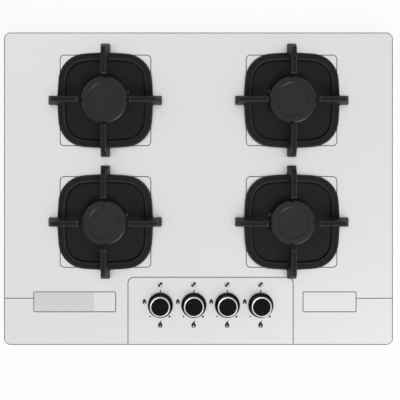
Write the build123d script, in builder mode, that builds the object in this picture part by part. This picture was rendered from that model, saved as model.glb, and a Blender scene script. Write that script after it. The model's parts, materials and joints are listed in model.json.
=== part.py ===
"""Built-in gas cooktop with four burners, modelled as its separate pieces.

Millimetres. +X is to the user's right, +Y to the rear, +Z up. The origin lies in the middle of the
tray's underside. Heights above the plate are measured from its upper face, at z = BODY_HEIGHT.
"""

import os
from collections import namedtuple
from math import cos, radians, sin

from build123d import *

# ---------------------------------------------------------------- driving sizes

# Worktop plate: pressed stainless sheet with a turned-down rim
PLATE_WIDTH = 600.0
PLATE_DEPTH = 482.0
PLATE_CORNER_RADIUS = 10.0
SHEET = 0.8
RIM_HEIGHT = 5.0
RIM_EDGE_RADIUS = 1.5
BODY_HEIGHT = 50.0  # tray underside to the plate's upper face

# Lines pressed into the plate
GROOVE_WIDTH = 1.2
GROOVE_DEPTH = 0.3
FRAME_SIZE = 141.0  # square round each burner
FRAME_CORNER_RADIUS = 7.0
CONTROL_LEFT = -109.4
CONTROL_RIGHT = 146.5
CONTROL_DEPTH = 105.1  # from the plate's front edge
CONTROL_CORNER_RADIUS = 9.5
LABEL_HEIGHT = 31.9
LABEL_CORNER_RADIUS = 2.5
LABEL_FROM_FRONT = 66.5
LEFT_LABEL_WIDTH = 127.3
LEFT_LABEL_INSET = 45.45  # from the plate's side edge
RIGHT_LABEL_WIDTH = 83.1
RIGHT_LABEL_INSET = 56.35
EDGE_LINE_FROM_FRONT = 72.1

# Blank plate in the left label frame
BADGE_WIDTH = 90.0
BADGE_HEIGHT = 27.0
BADGE_THICKNESS = 0.6
BADGE_MARGIN = 3.0

# Burner places and caps
BURNER_X = 143.5
REAR_Y = 136.2
FRONT_Y = -51.2
REAR_CAP_RADIUS = 35.5
FRONT_CAP_RADIUS = 33.75

# Burner heights above the plate's face
CUP_TOP = 3.5
HEAD_WAIST = 6.2  # height of the head's conical lower part
HEAD_SKIRT_DEPTH = 7.0  # reach of the head into the cup, below the plate's face
CHAMBER_FLOOR = 12.0
THROAT_LIP = 4.0  # mixing tube above the chamber's floor
HEAD_TOP = 19.0
CAP_HEIGHT = 5.9  # underside to the highest point of the crown
CAP_EDGE_FALL = 0.6
CAP_RECESS = 1.3
CAP_RIM_BREAK = 2.6  # rounded edge of the cap
CAP_SKIRT_DEPTH = 2.2
CAP_SKIRT_WALL = 2.0

# Burner radii, as steps in from the cap's edge
CAP_OVERHANG = 2.0
CUP_INSET = 8.0
CAP_STEP_INSET = 10.6
CUP_WALL = 3.0
CUP_DEPTH = 22.0  # below the plate's face
CUP_FLOOR = 3.0
FLANGE_REACH = 6.5  # flange radius beyond the cap's edge
FLANGE_THICKNESS = 2.5
PORT_COUNT = 36
PORT_WIDTH = 2.0
PORT_DEPTH = 4.5
HEAD_RIM_WALL = 4.0
HEAD_SKIRT_WALL = 2.5
VENTURI_RADIUS = 9.0
VENTURI_WALL = 2.5
INJECTOR_BORE_RADIUS = 0.75
INJECTOR_THREAD_LENGTH = 6.0
INJECTOR_HEAD_HEIGHT = 4.0
INJECTOR_TIP_HEIGHT = 8.0
INJECTOR_TIP_RADIUS = 1.5

# Gaps
REST_GAP = 0.3  # between a lift-off piece and its seat
CUP_CLEARANCE = 0.4
HOLE_CLEARANCE = 0.5
RUNNING_CLEARANCE = 0.05
SLIDING_CLEARANCE = 0.1
PRESS_CLEARANCE = 0.05

# Drip plate and pan support, both a square with crowned sides and big corners
SUPPORT_HALF = 73.3
SUPPORT_BAND = 10.8
DRIP_GAP = 1.8
DRIP_FLANGE = 3.5  # lies on the plate, under the support's ring
SQUARE_CORNER_RADIUS = 42.0
SQUARE_SIDE_RADIUS = 355.0
DRIP_HEIGHT = 2.5
DRIP_HOLE_MARGIN = 2.5
SUPPORT_RING_BOTTOM = 1.6
SUPPORT_RING_TOP = 7.5
SUPPORT_RING_EDGE_RADIUS = 1.6
SUPPORT_HEIGHT = 42.0
ARM_INNER_RADIUS = 38.0
ARM_TOP_OUTER_RADIUS = 79.0
ARM_FOOT_OUTER_RADIUS = 87.0
ARM_TOP_WIDTH = 8.0
ARM_FOOT_WIDTH = 14.5
ARM_TIP_DEPTH = 9.0
ARM_EDGE_RADIUS = 1.2
ARM_TIP_RADIUS = 2.0
ARM_SHOULDER_RADIUS = 6.0

# Spark electrode and flame-failure probe
ELECTRODE_OUTSET = 1.5  # beyond the cap's edge
ELECTRODE_ANGLE = 20.0  # off the line between the burners, towards the rear
INSULATOR_RADIUS = 3.0
INSULATOR_TOP = 12.0
ELECTRODE_RADIUS = 1.1
ELECTRODE_TOP = 18.0
PROBE_OUTSET = 0.8
PROBE_ANGLE = -20.0
PROBE_RADIUS = 1.6
PROBE_TOP = 17.0
STEM_DEPTH = 14.0  # electrode and probe below the plate's face
COLLAR_RADIUS = 4.5
COLLAR_HEIGHT = 2.0

# Screws
SCREW_RADIUS = 2.0
SCREW_HEAD_RADIUS = 3.5
SCREW_HEAD_HEIGHT = 1.6
SCREW_LENGTH = 7.0
SCREW_HOLE_RADIUS = 2.15
SCREW_BITE = 2.0  # thread beyond the clamped sheets
BURNER_SCREW_INSET = 3.0
BURNER_SCREW_ANGLES = (90.0, 240.0, 300.0)

# Tray under the plate
TRAY_SIDE_INSET = 25.0  # from the plate's edges
TRAY_END_INSET = 18.0
TRAY_CORNER_RADIUS = 12.0
TRAY_FLANGE = 4.0
TRAY_EDGE_RADIUS = 2.4
BEAD_WIDTH = 14.0
BEAD_HEIGHT = 1.5
BEAD_FROM_SIDE = 122.0
BEAD_FROM_END = 62.0
VENT_LENGTH = 14.0
VENT_WIDTH = 4.0
VENT_PITCH = 20.0
VENT_COLUMNS = 7
VENT_ROWS = 2
VENT_FROM_REAR = 63.0
TAB_WIDTH = 16.0
TAB_HEIGHT = 13.0
TAB_THICKNESS = 1.2
TAB_SCREW_DROP = 8.0
SIDE_TAB_Y = 70.0
FRONT_TAB_X = 190.0

# Foam strip under the rim
SEAL_WIDTH = 6.0
SEAL_INSET = 3.0

# Clamps that hold the cooktop in the cut-out
BRACKET_WIDTH = 20.0
BRACKET_THICKNESS = 1.5
BRACKET_RISE = 26.0
BRACKET_FOOT = 21.0
BRACKET_FOOT_LEVEL = 5.0
BRACKET_Y = 150.0
BRACKET_HOLE_RADIUS = 2.25
BRACKET_BEND_RADIUS = 1.5
BRACKET_SCREW_RISE = 19.3

# Controls
KNOB_PITCH = 51.6
KNOB_MIDDLE_X = 18.6
KNOB_FROM_FRONT = 61.6
KNOB_TRAVEL = 3.0
TRAVEL_MARGIN = 0.5  # left over when a knob is pushed in
KNOB_SKIRT_RADIUS = 19.25
KNOB_BODY_RADIUS = 15.3
KNOB_TOP = 22.0
KNOB_WALL = 1.8
KNOB_BOSS_RADIUS = 6.5
POINTER_WIDTH = 1.8
POINTER_RISE = 2.0  # above the skirt's edge
RING_INNER_RADIUS = 13.0
RING_HEIGHT = 3.3
SPINDLE_RADIUS = 4.0
SPINDLE_FLAT = 3.0
SPINDLE_TOP = 15.7
KNOB_HOLE_RADIUS = 7.0
SEAL_LIP_RADIUS = 9.5
SEAL_BORE_RADIUS = 4.6
SEAL_LIP_HEIGHT = 1.2

# Gas taps, heights from the tray's underside
PIPE_LEVEL = 17.0
TAP_RADIUS = 11.0
TAP_BOTTOM = 8.0
TAP_TOP = 38.0
TAP_NECK_RADIUS = 7.5
TAP_NECK_TOP = 42.0
TAP_FOOT_LENGTH = 40.0
TAP_FOOT_WIDTH = 16.0
TAP_FOOT_HEIGHT = 3.0
TAP_SCREW_REACH = 15.0
TAP_SADDLE_WIDTH = 20.0
TAP_SADDLE_HEIGHT = 18.0
TAP_SADDLE_OFFSET = 2.0  # behind the rail's middle
PLUG_BOTTOM = 12.0
PLUG_TOP = 30.0
PLUG_BOTTOM_RADIUS = 6.0
PLUG_TOP_RADIUS = 7.5
PLUG_PORT_RADIUS = 2.0
PLUG_SLOT_WIDTH = 4.2
PLUG_SLOT_FLOOR = 21.0
TANG_WIDTH = 9.0
SPINDLE_COLLAR_HEIGHT = 2.0
SPINDLE_COLLAR_RADIUS = 6.5

# Pipes, fittings and wiring
PIPE_RADIUS = 4.0
PIPE_WALL = 1.0
PIPE_BEND_RADIUS = 14.0
PIPE_CROSSING = 57.0  # where a pipe crosses, in front of its burner
FITTING_RADIUS = 7.0
FITTING_NUT_RADIUS = 8.5
FITTING_NUT_LENGTH = 8.0
TAP_OUTLET_REACH = 22.0
BURNER_INLET_REACH = 8.0  # beyond the cup's wall
PIPE_INSERTION = 5.0
RAIL_RADIUS = 6.0
RAIL_WALL = 1.5
RAIL_DISTANCE = 25.6  # in front of the taps' middles
RAIL_OVERRUN = 16.0
RAIL_BEND_RADIUS = 24.0
INLET_INSET = 27.0  # from the tray's side
INLET_LENGTH = 30.0
INLET_BODY_RADIUS = 9.0
INLET_THREAD_RADIUS = 10.475
INLET_THREAD_LENGTH = 14.0
INLET_NECK_LENGTH = 1.8  # thread relief, through the tray's wall and 1 mm past it
INLET_NUT_RADIUS = 15.0
INLET_NUT_LENGTH = 8.0
LEAD_RADIUS = 1.25
LEAD_LEVEL = 8.0
LEAD_BEND_RADIUS = 6.0
LEAD_LANE_Y = {"front_left": 9.0, "rear_left": 3.0, "rear_right": -3.0, "front_right": -9.0}
LEAD_TURN_X = {"rear_left": -85.0, "rear_right": 74.0}
CAPILLARY_RADIUS = 1.0
CAPILLARY_LEVEL = 30.0
CAPILLARY_BEND_RADIUS = 3.5
CAPILLARY_JUNCTION = 42.0  # behind the knobs
CAPILLARY_LANE_X = {"rear_left": -32.0, "rear_right": 66.0}
GLAND_INSET = 75.0  # from the tray's side
GLAND_RADIUS = 8.0
GLAND_LENGTH = 20.0
GLAND_NUT_RADIUS = 11.0
GLAND_NUT_LENGTH = 4.0
GLAND_LEVEL = 22.0
TERMINAL_WIDTH = 38.0
TERMINAL_DEPTH = 20.0
TERMINAL_HEIGHT = 14.0
TERMINAL_FROM_REAR = 50.0
TERMINAL_PITCH = 12.0
TERMINAL_HOLE_RADIUS = 3.0
TERMINAL_HOLE_DEPTH = 4.0
GENERATOR_INSET = 50.0  # from the tray's side
GENERATOR_Y = -117.0
GENERATOR_LENGTH = 60.0
GENERATOR_WIDTH = 36.0
GENERATOR_HEIGHT = 26.0
GENERATOR_EAR_REACH = 8.0
GENERATOR_EAR_HEIGHT = 3.0

# ---------------------------------------------------------------- derived places

plate_face = BODY_HEIGHT
plate_underside = plate_face - SHEET
seat_level = plate_face - RIM_HEIGHT
plate_front = -PLATE_DEPTH / 2
label_y = plate_front + LABEL_FROM_FRONT
left_label_x = LEFT_LABEL_INSET + LEFT_LABEL_WIDTH / 2 - PLATE_WIDTH / 2
right_label_x = PLATE_WIDTH / 2 - RIGHT_LABEL_INSET - RIGHT_LABEL_WIDTH / 2
knob_y = plate_front + KNOB_FROM_FRONT
knob_gap = KNOB_TRAVEL + TRAVEL_MARGIN  # skirt above the plate
rail_y = knob_y - RAIL_DISTANCE
tray_width = PLATE_WIDTH - 2 * TRAY_SIDE_INSET
tray_depth = PLATE_DEPTH - 2 * TRAY_END_INSET
tray_inner_x = tray_width / 2 - SHEET
tray_inner_y = tray_depth / 2 - SHEET
inlet_x = tray_width / 2 - INLET_INSET
gland_x = GLAND_INSET - tray_width / 2
generator_x = GENERATOR_INSET - tray_width / 2
drip_half = SUPPORT_HALF - SUPPORT_BAND - DRIP_GAP
head_bottom = CUP_TOP + REST_GAP
cap_bottom = HEAD_TOP + REST_GAP

Burner = namedtuple("Burner", "name x y cap_radius side")
BURNERS = [
    Burner("rear_left", -BURNER_X, REAR_Y, REAR_CAP_RADIUS, -1),
    Burner("rear_right", BURNER_X, REAR_Y, REAR_CAP_RADIUS, 1),
    Burner("front_left", -BURNER_X, FRONT_Y, FRONT_CAP_RADIUS, -1),
    Burner("front_right", BURNER_X, FRONT_Y, FRONT_CAP_RADIUS, 1),
]

# Knobs from left to right and the burner that each one controls
KNOB_ORDER = ("front_left", "rear_left", "rear_right", "front_right")
knob_x = {name: KNOB_MIDDLE_X + (place - 1.5) * KNOB_PITCH for place, name in enumerate(KNOB_ORDER)}


def around(burner, outset, angle):
    """Place at a distance outside the cap's edge, on the side that faces the other burner column."""
    radius = burner.cap_radius + outset
    return (
        burner.x - burner.side * radius * cos(radians(angle)),
        burner.y + radius * sin(radians(angle)),
    )


def above(height):
    """Horizontal plane at a height above the plate's face."""
    return Plane.XY.offset(plate_face + height)


def crowned_square(half):
    """Square with slightly bulged sides and big round corners, drawn in the current sketch."""
    inset = SUPPORT_HALF - half
    side_radius = SQUARE_SIDE_RADIUS - inset
    with BuildSketch(mode=Mode.PRIVATE) as square:
        with Locations((half - side_radius, 0)):
            Circle(side_radius)
        for direction in ((side_radius - half, 0), (0, half - side_radius), (0, side_radius - half)):
            with Locations(direction):
                Circle(side_radius, mode=Mode.INTERSECT)
        fillet(square.vertices(), SQUARE_CORNER_RADIUS - inset)
    return square.sketch


def tube(points, radius, wall, bend_radius):
    """Tube along a run of points with round bends; solid where the wall is None."""
    with BuildPart(mode=Mode.PRIVATE) as swept:
        with BuildLine() as run:
            FilletPolyline(*points, radius=bend_radius)
        with BuildSketch(run.line ^ 0):
            Circle(radius)
            if wall is not None:
                Circle(radius - wall, mode=Mode.SUBTRACT)
        sweep(path=run.line)
    return swept.part


def save(piece, name):
    """Label a finished piece and write its file."""
    piece.part.label = name
    export_step(piece.part, f"parts/{name}.step")


os.makedirs("parts", exist_ok=True)

# ---------------------------------------------------------------- worktop plate

electrode_places = [around(burner, ELECTRODE_OUTSET, ELECTRODE_ANGLE) for burner in BURNERS]
probe_places = [around(burner, PROBE_OUTSET, PROBE_ANGLE) for burner in BURNERS]
burner_screw_places = [
    (
        burner.x + (burner.cap_radius - BURNER_SCREW_INSET) * cos(radians(angle)),
        burner.y + (burner.cap_radius - BURNER_SCREW_INSET) * sin(radians(angle)),
    )
    for burner in BURNERS
    for angle in BURNER_SCREW_ANGLES
]
side_tab_places = [
    Location((side * tray_inner_x, y, plate_underside), (0, 0, 90 - 90 * side))
    for side in (-1, 1)
    for y in (-SIDE_TAB_Y, SIDE_TAB_Y)
]
end_tab_places = [
    Location((x, side * tray_inner_y, plate_underside), (0, 0, 90 * side))
    for side in (-1, 1)
    for x in (-FRONT_TAB_X, FRONT_TAB_X)
]
tab_places = side_tab_places + end_tab_places

with BuildPart() as worktop_plate:
    with BuildSketch(Plane.XY.offset(seat_level)):
        RectangleRounded(PLATE_WIDTH, PLATE_DEPTH, PLATE_CORNER_RADIUS)
    extrude(amount=RIM_HEIGHT)
    fillet(worktop_plate.faces().sort_by(Axis.Z)[-1].edges(), RIM_EDGE_RADIUS)
    offset(amount=-SHEET, openings=worktop_plate.faces().sort_by(Axis.Z)[0])
    # Pressed lines round the burners, the controls and the labels
    control_width = CONTROL_RIGHT - CONTROL_LEFT
    control_depth = CONTROL_DEPTH + CONTROL_CORNER_RADIUS
    control_x = (CONTROL_RIGHT + CONTROL_LEFT) / 2
    control_y = plate_front + CONTROL_DEPTH - control_depth / 2
    with BuildSketch(above(0)):
        with Locations(*[(burner.x, burner.y) for burner in BURNERS]):
            RectangleRounded(FRAME_SIZE, FRAME_SIZE, FRAME_CORNER_RADIUS)
            RectangleRounded(
                FRAME_SIZE - 2 * GROOVE_WIDTH,
                FRAME_SIZE - 2 * GROOVE_WIDTH,
                FRAME_CORNER_RADIUS - GROOVE_WIDTH,
                mode=Mode.SUBTRACT,
            )
        with Locations((control_x, control_y)):
            RectangleRounded(control_width, control_depth, CONTROL_CORNER_RADIUS)
            RectangleRounded(
                control_width - 2 * GROOVE_WIDTH,
                control_depth - 2 * GROOVE_WIDTH,
                CONTROL_CORNER_RADIUS - GROOVE_WIDTH,
                mode=Mode.SUBTRACT,
            )
        for x, width in ((left_label_x, LEFT_LABEL_WIDTH), (right_label_x, RIGHT_LABEL_WIDTH)):
            outer = abs(x) + width / 2 - GROOVE_WIDTH / 2
            line_length = PLATE_WIDTH / 2 - outer
            side = 1 if x > 0 else -1
            with Locations((side * (outer + line_length / 2), plate_front + EDGE_LINE_FROM_FRONT)):
                Rectangle(line_length, GROOVE_WIDTH)
            with Locations((x, label_y)):
                RectangleRounded(width, LABEL_HEIGHT, LABEL_CORNER_RADIUS)
                RectangleRounded(
                    width - 2 * GROOVE_WIDTH,
                    LABEL_HEIGHT - 2 * GROOVE_WIDTH,
                    LABEL_CORNER_RADIUS - GROOVE_WIDTH,
                    mode=Mode.SUBTRACT,
                )
    extrude(amount=-GROOVE_DEPTH, mode=Mode.SUBTRACT)
    # Openings for the burners, their screws, electrodes and probes, and the spindles
    with BuildSketch(above(0)):
        for burner in BURNERS:
            with Locations((burner.x, burner.y)):
                Circle(burner.cap_radius - CUP_INSET + HOLE_CLEARANCE)
        with Locations(*electrode_places):
            Circle(INSULATOR_RADIUS + HOLE_CLEARANCE)
        with Locations(*probe_places):
            Circle(PROBE_RADIUS + HOLE_CLEARANCE)
        with Locations(*burner_screw_places):
            Circle(SCREW_HOLE_RADIUS)
        with Locations(*[(x, knob_y) for x in knob_x.values()]):
            Circle(KNOB_HOLE_RADIUS)
    extrude(amount=-SHEET, mode=Mode.SUBTRACT)
    # Tabs welded to the underside, which take the tray's screws
    with Locations(*tab_places):
        with Locations((-TAB_THICKNESS / 2, 0, -TAB_HEIGHT / 2)):
            Box(TAB_THICKNESS, TAB_WIDTH, TAB_HEIGHT)
        with Locations(Location((0, 0, -TAB_SCREW_DROP), (0, 90, 0))):
            Cylinder(SCREW_RADIUS, 4 * TAB_THICKNESS, mode=Mode.SUBTRACT)
save(worktop_plate, "worktop_plate")

with BuildPart() as badge_plate:
    badge_x = left_label_x - LEFT_LABEL_WIDTH / 2 + BADGE_MARGIN + BADGE_WIDTH / 2
    with BuildSketch(above(0)):
        with Locations((badge_x, label_y)):
            RectangleRounded(BADGE_WIDTH, BADGE_HEIGHT, LABEL_CORNER_RADIUS - GROOVE_WIDTH)
    extrude(amount=BADGE_THICKNESS)
    chamfer(badge_plate.faces().sort_by(Axis.Z)[-1].edges(), BADGE_THICKNESS / 3)
save(badge_plate, "badge_plate")

with BuildPart() as rim_seal:
    seal_width = PLATE_WIDTH - 2 * SEAL_INSET
    seal_depth = PLATE_DEPTH - 2 * SEAL_INSET
    seal_radius = PLATE_CORNER_RADIUS - SEAL_INSET
    with BuildSketch(Plane.XY.offset(seat_level)):
        RectangleRounded(seal_width, seal_depth, seal_radius)
        RectangleRounded(
            seal_width - 2 * SEAL_WIDTH,
            seal_depth - 2 * SEAL_WIDTH,
            seal_radius - SEAL_WIDTH,
            mode=Mode.SUBTRACT,
        )
    extrude(amount=plate_underside - seat_level)
save(rim_seal, "rim_seal")

# ---------------------------------------------------------------- tray and clamps

tap_foot_screws = [
    (x + side * TAP_SCREW_REACH, knob_y)
    for x in knob_x.values()
    for side in (-1, 1)
]
bracket_places = [
    Location((side * tray_width / 2, y, BRACKET_FOOT_LEVEL), (0, 0, 90 - 90 * side))
    for side in (-1, 1)
    for y in (-BRACKET_Y, BRACKET_Y)
]

with BuildPart() as bottom_tray:
    with BuildSketch():
        RectangleRounded(tray_width, tray_depth, TRAY_CORNER_RADIUS)
    extrude(amount=plate_underside)
    fillet(bottom_tray.faces().sort_by(Axis.Z)[0].edges(), TRAY_EDGE_RADIUS)
    offset(amount=-SHEET, openings=bottom_tray.faces().sort_by(Axis.Z)[-1])
    with BuildSketch(Plane.XY.offset(plate_underside)):
        RectangleRounded(
            tray_width + 2 * TRAY_FLANGE,
            tray_depth + 2 * TRAY_FLANGE,
            TRAY_CORNER_RADIUS + TRAY_FLANGE,
        )
        RectangleRounded(
            tray_width - 2 * SHEET,
            tray_depth - 2 * SHEET,
            TRAY_CORNER_RADIUS - SHEET,
            mode=Mode.SUBTRACT,
        )
    extrude(amount=-SHEET)
    # Stiffening beads pressed up into the floor
    bead_x = tray_width / 2 - BEAD_FROM_SIDE
    bead_length = tray_depth - 2 * BEAD_FROM_END
    with BuildSketch():
        with Locations((-bead_x, 0), (bead_x, 0)):
            SlotOverall(bead_length, BEAD_WIDTH, rotation=90)
    extrude(amount=SHEET + BEAD_HEIGHT)
    with BuildSketch():
        with Locations((-bead_x, 0), (bead_x, 0)):
            SlotOverall(bead_length - 2 * SHEET, BEAD_WIDTH - 2 * SHEET, rotation=90)
    extrude(amount=BEAD_HEIGHT, mode=Mode.SUBTRACT)
    # Air slots, and holes for the taps' screws
    with BuildSketch():
        with Locations((0, tray_depth / 2 - VENT_FROM_REAR)):
            with GridLocations(VENT_PITCH, VENT_PITCH, VENT_COLUMNS, VENT_ROWS):
                SlotOverall(VENT_LENGTH, VENT_WIDTH, rotation=90)
        with Locations(*tap_foot_screws):
            Circle(SCREW_HOLE_RADIUS)
    extrude(amount=SHEET, mode=Mode.SUBTRACT)
    # Holes in the walls: plate tabs, clamps, gas inlet and cable gland
    with Locations(*tab_places):
        with Locations(Location((0, 0, -TAB_SCREW_DROP), (0, 90, 0))):
            Cylinder(SCREW_HOLE_RADIUS, 4 * SHEET, mode=Mode.SUBTRACT)
    with Locations(*bracket_places):
        with Locations(Location((0, 0, BRACKET_SCREW_RISE), (0, 90, 0))):
            Cylinder(SCREW_HOLE_RADIUS, 4 * SHEET, mode=Mode.SUBTRACT)
    with Locations(Location((inlet_x, tray_depth / 2, PIPE_LEVEL), (90, 0, 0))):
        Cylinder(INLET_THREAD_RADIUS + HOLE_CLEARANCE, 4 * SHEET, mode=Mode.SUBTRACT)
    with Locations(Location((gland_x, tray_depth / 2, GLAND_LEVEL), (90, 0, 0))):
        Cylinder(GLAND_RADIUS + SLIDING_CLEARANCE, 4 * SHEET, mode=Mode.SUBTRACT)
save(bottom_tray, "bottom_tray")


def pan_head_screw(length):
    """Pan-head screw along -Z with the underside of its head at the origin."""
    with BuildPart(mode=Mode.PRIVATE) as screw:
        with BuildSketch():
            Circle(SCREW_HEAD_RADIUS)
        extrude(amount=SCREW_HEAD_HEIGHT)
        fillet(screw.faces().sort_by(Axis.Z)[-1].edges(), SCREW_HEAD_HEIGHT / 2)
        with BuildSketch():
            Circle(SCREW_RADIUS)
        extrude(amount=-length)
    return screw.part


# Screws in the tray's walls: into the plate's tabs, and through the clamps
with BuildPart() as tray_screws:
    with Locations(*tab_places):
        with Locations(Location((SHEET, 0, -TAB_SCREW_DROP), (0, 90, 0))):
            add(pan_head_screw(SCREW_LENGTH))
    with Locations(*bracket_places):
        with Locations(Location((BRACKET_THICKNESS, 0, BRACKET_SCREW_RISE), (0, 90, 0))):
            add(pan_head_screw(SCREW_LENGTH))
save(tray_screws, "tray_screws")


def clamp_bracket():
    """L-shaped clamp: its back lies on the tray's wall and its foot reaches out along +X."""
    with BuildPart(mode=Mode.PRIVATE) as bracket:
        with BuildSketch(Plane.XZ):
            with BuildLine():
                Polyline(
                    (0, 0),
                    (BRACKET_FOOT, 0),
                    (BRACKET_FOOT, BRACKET_THICKNESS),
                    (BRACKET_THICKNESS, BRACKET_THICKNESS),
                    (BRACKET_THICKNESS, BRACKET_RISE),
                    (0, BRACKET_RISE),
                    close=True,
                )
            make_face()
        extrude(amount=BRACKET_WIDTH / 2, both=True)
        bend = bracket.edges().filter_by(Axis.Y)
        fillet(bend.sort_by_distance((0, 0, 0))[0], BRACKET_BEND_RADIUS + BRACKET_THICKNESS)
        bend = bracket.edges().filter_by(Axis.Y)
        inner = (BRACKET_THICKNESS, 0, BRACKET_THICKNESS)
        fillet(bend.sort_by_distance(inner)[0], BRACKET_BEND_RADIUS)
        with Locations((BRACKET_FOOT / 2 + BRACKET_THICKNESS, 0, BRACKET_THICKNESS / 2)):
            Cylinder(BRACKET_HOLE_RADIUS, 2 * BRACKET_THICKNESS, mode=Mode.SUBTRACT)
        with Locations(Location((BRACKET_THICKNESS / 2, 0, BRACKET_SCREW_RISE), (0, 90, 0))):
            Cylinder(SCREW_HOLE_RADIUS, 2 * BRACKET_THICKNESS, mode=Mode.SUBTRACT)
    return bracket.part


with BuildPart() as fixing_brackets:
    with Locations(*bracket_places):
        add(clamp_bracket())
save(fixing_brackets, "fixing_brackets")

# ---------------------------------------------------------------- burners

for burner in BURNERS:
    cup_radius = burner.cap_radius - CUP_INSET
    cup_bore = cup_radius - CUP_WALL
    flange_radius = burner.cap_radius + FLANGE_REACH
    boss_bottom = PIPE_LEVEL - plate_face - FITTING_RADIUS - CUP_FLOOR / 2
    inlet_end = cup_radius + BURNER_INLET_REACH
    with BuildPart() as burner_base:
        # Cup with a flange that lies under the plate
        with BuildSketch(Plane.XZ) as section:
            with BuildLine():
                Polyline(
                    (0, -CUP_DEPTH),
                    (cup_radius, -CUP_DEPTH),
                    (cup_radius, -SHEET - FLANGE_THICKNESS),
                    (flange_radius, -SHEET - FLANGE_THICKNESS),
                    (flange_radius, -SHEET),
                    (cup_radius, -SHEET),
                    (cup_radius, CUP_TOP),
                    (cup_bore, CUP_TOP),
                    (cup_bore, CUP_FLOOR - CUP_DEPTH),
                    (0, CUP_FLOOR - CUP_DEPTH),
                    close=True,
                )
            make_face()
        revolve(axis=Axis.Z)
        outer_edges = burner_base.edges().filter_by(GeomType.CIRCLE)
        fillet(outer_edges.group_by(Axis.Z)[0].sort_by(SortBy.RADIUS)[-1], CUP_WALL)
        # Injector holder with the gas inlet towards the front
        with BuildSketch(Plane.XY.offset(boss_bottom)):
            Circle(VENTURI_RADIUS)
        extrude(until=Until.NEXT)
        with BuildSketch(Plane.XZ):
            with Locations((0, PIPE_LEVEL - plate_face)):
                Circle(FITTING_RADIUS)
        extrude(amount=inlet_end)
        with BuildSketch(Plane.XZ.offset(inlet_end)):
            with Locations((0, PIPE_LEVEL - plate_face)):
                RegularPolygon(FITTING_NUT_RADIUS, 6)
        extrude(amount=-FITTING_NUT_LENGTH)
        # Gas way, pipe socket and injector thread
        with BuildSketch(Plane.XZ):
            with Locations((0, PIPE_LEVEL - plate_face)):
                Circle(PIPE_RADIUS - PIPE_WALL)
        extrude(amount=inlet_end, mode=Mode.SUBTRACT)
        with BuildSketch(Plane.XZ.offset(inlet_end)):
            with Locations((0, PIPE_LEVEL - plate_face)):
                Circle(PIPE_RADIUS + PRESS_CLEARANCE)
        extrude(amount=-PIPE_INSERTION, mode=Mode.SUBTRACT)
        with BuildSketch(Plane.XY.offset(PIPE_LEVEL - plate_face)):
            Circle(PIPE_RADIUS - PIPE_WALL)
        extrude(amount=CUP_DEPTH, mode=Mode.SUBTRACT)
        # Holes in the flange for the electrode, the probe and the screws
        stems = (
            (around(burner, ELECTRODE_OUTSET, ELECTRODE_ANGLE), INSULATOR_RADIUS + SLIDING_CLEARANCE),
            (around(burner, PROBE_OUTSET, PROBE_ANGLE), PROBE_RADIUS + SLIDING_CLEARANCE),
        )
        with BuildSketch():
            for (x, y), radius in stems:
                with Locations((x - burner.x, y - burner.y)):
                    Circle(radius)
            for angle in BURNER_SCREW_ANGLES:
                with PolarLocations(burner.cap_radius - BURNER_SCREW_INSET, 1, angle):
                    Circle(SCREW_RADIUS)
        extrude(amount=-2 * FLANGE_THICKNESS, mode=Mode.SUBTRACT)
    burner_base.part = burner_base.part.moved(Location((burner.x, burner.y, plate_face)))
    save(burner_base, f"burner_base_{burner.name}")

    with BuildPart() as burner_head:
        rim_radius = burner.cap_radius - CAP_OVERHANG
        rim_bore = rim_radius - HEAD_RIM_WALL
        skirt_radius = cup_bore - CUP_CLEARANCE
        skirt_bore = skirt_radius - HEAD_SKIRT_WALL
        throat_radius = VENTURI_RADIUS + VENTURI_WALL
        with BuildSketch(Plane.XZ):
            with BuildLine():
                Polyline(
                    (VENTURI_RADIUS, head_bottom - VENTURI_WALL),
                    (VENTURI_RADIUS, CHAMBER_FLOOR + THROAT_LIP),
                    (throat_radius, CHAMBER_FLOOR + THROAT_LIP / 2),
                    (throat_radius, CHAMBER_FLOOR),
                    (rim_bore, CHAMBER_FLOOR),
                    (rim_bore, HEAD_TOP),
                    (rim_radius, HEAD_TOP),
                    (rim_radius, head_bottom + HEAD_WAIST),
                    (cup_radius, head_bottom),
                    (skirt_radius, head_bottom),
                    (skirt_radius, -HEAD_SKIRT_DEPTH),
                    (skirt_bore, -HEAD_SKIRT_DEPTH),
                    (skirt_bore, CHAMBER_FLOOR - VENTURI_WALL),
                    (throat_radius, CHAMBER_FLOOR - VENTURI_WALL),
                    (throat_radius, head_bottom - VENTURI_WALL),
                    close=True,
                )
            make_face()
        revolve(axis=Axis.Z)
        # Flame ports round the rim, open upwards and closed by the cap
        with Locations((0, 0, HEAD_TOP - PORT_DEPTH / 2)):
            with PolarLocations((rim_radius + rim_bore) / 2, PORT_COUNT, 180 / PORT_COUNT):
                Box(2 * (rim_radius - rim_bore), PORT_WIDTH, PORT_DEPTH, mode=Mode.SUBTRACT)
    burner_head.part = burner_head.part.moved(Location((burner.x, burner.y, plate_face)))
    save(burner_head, f"burner_head_{burner.name}")

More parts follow.
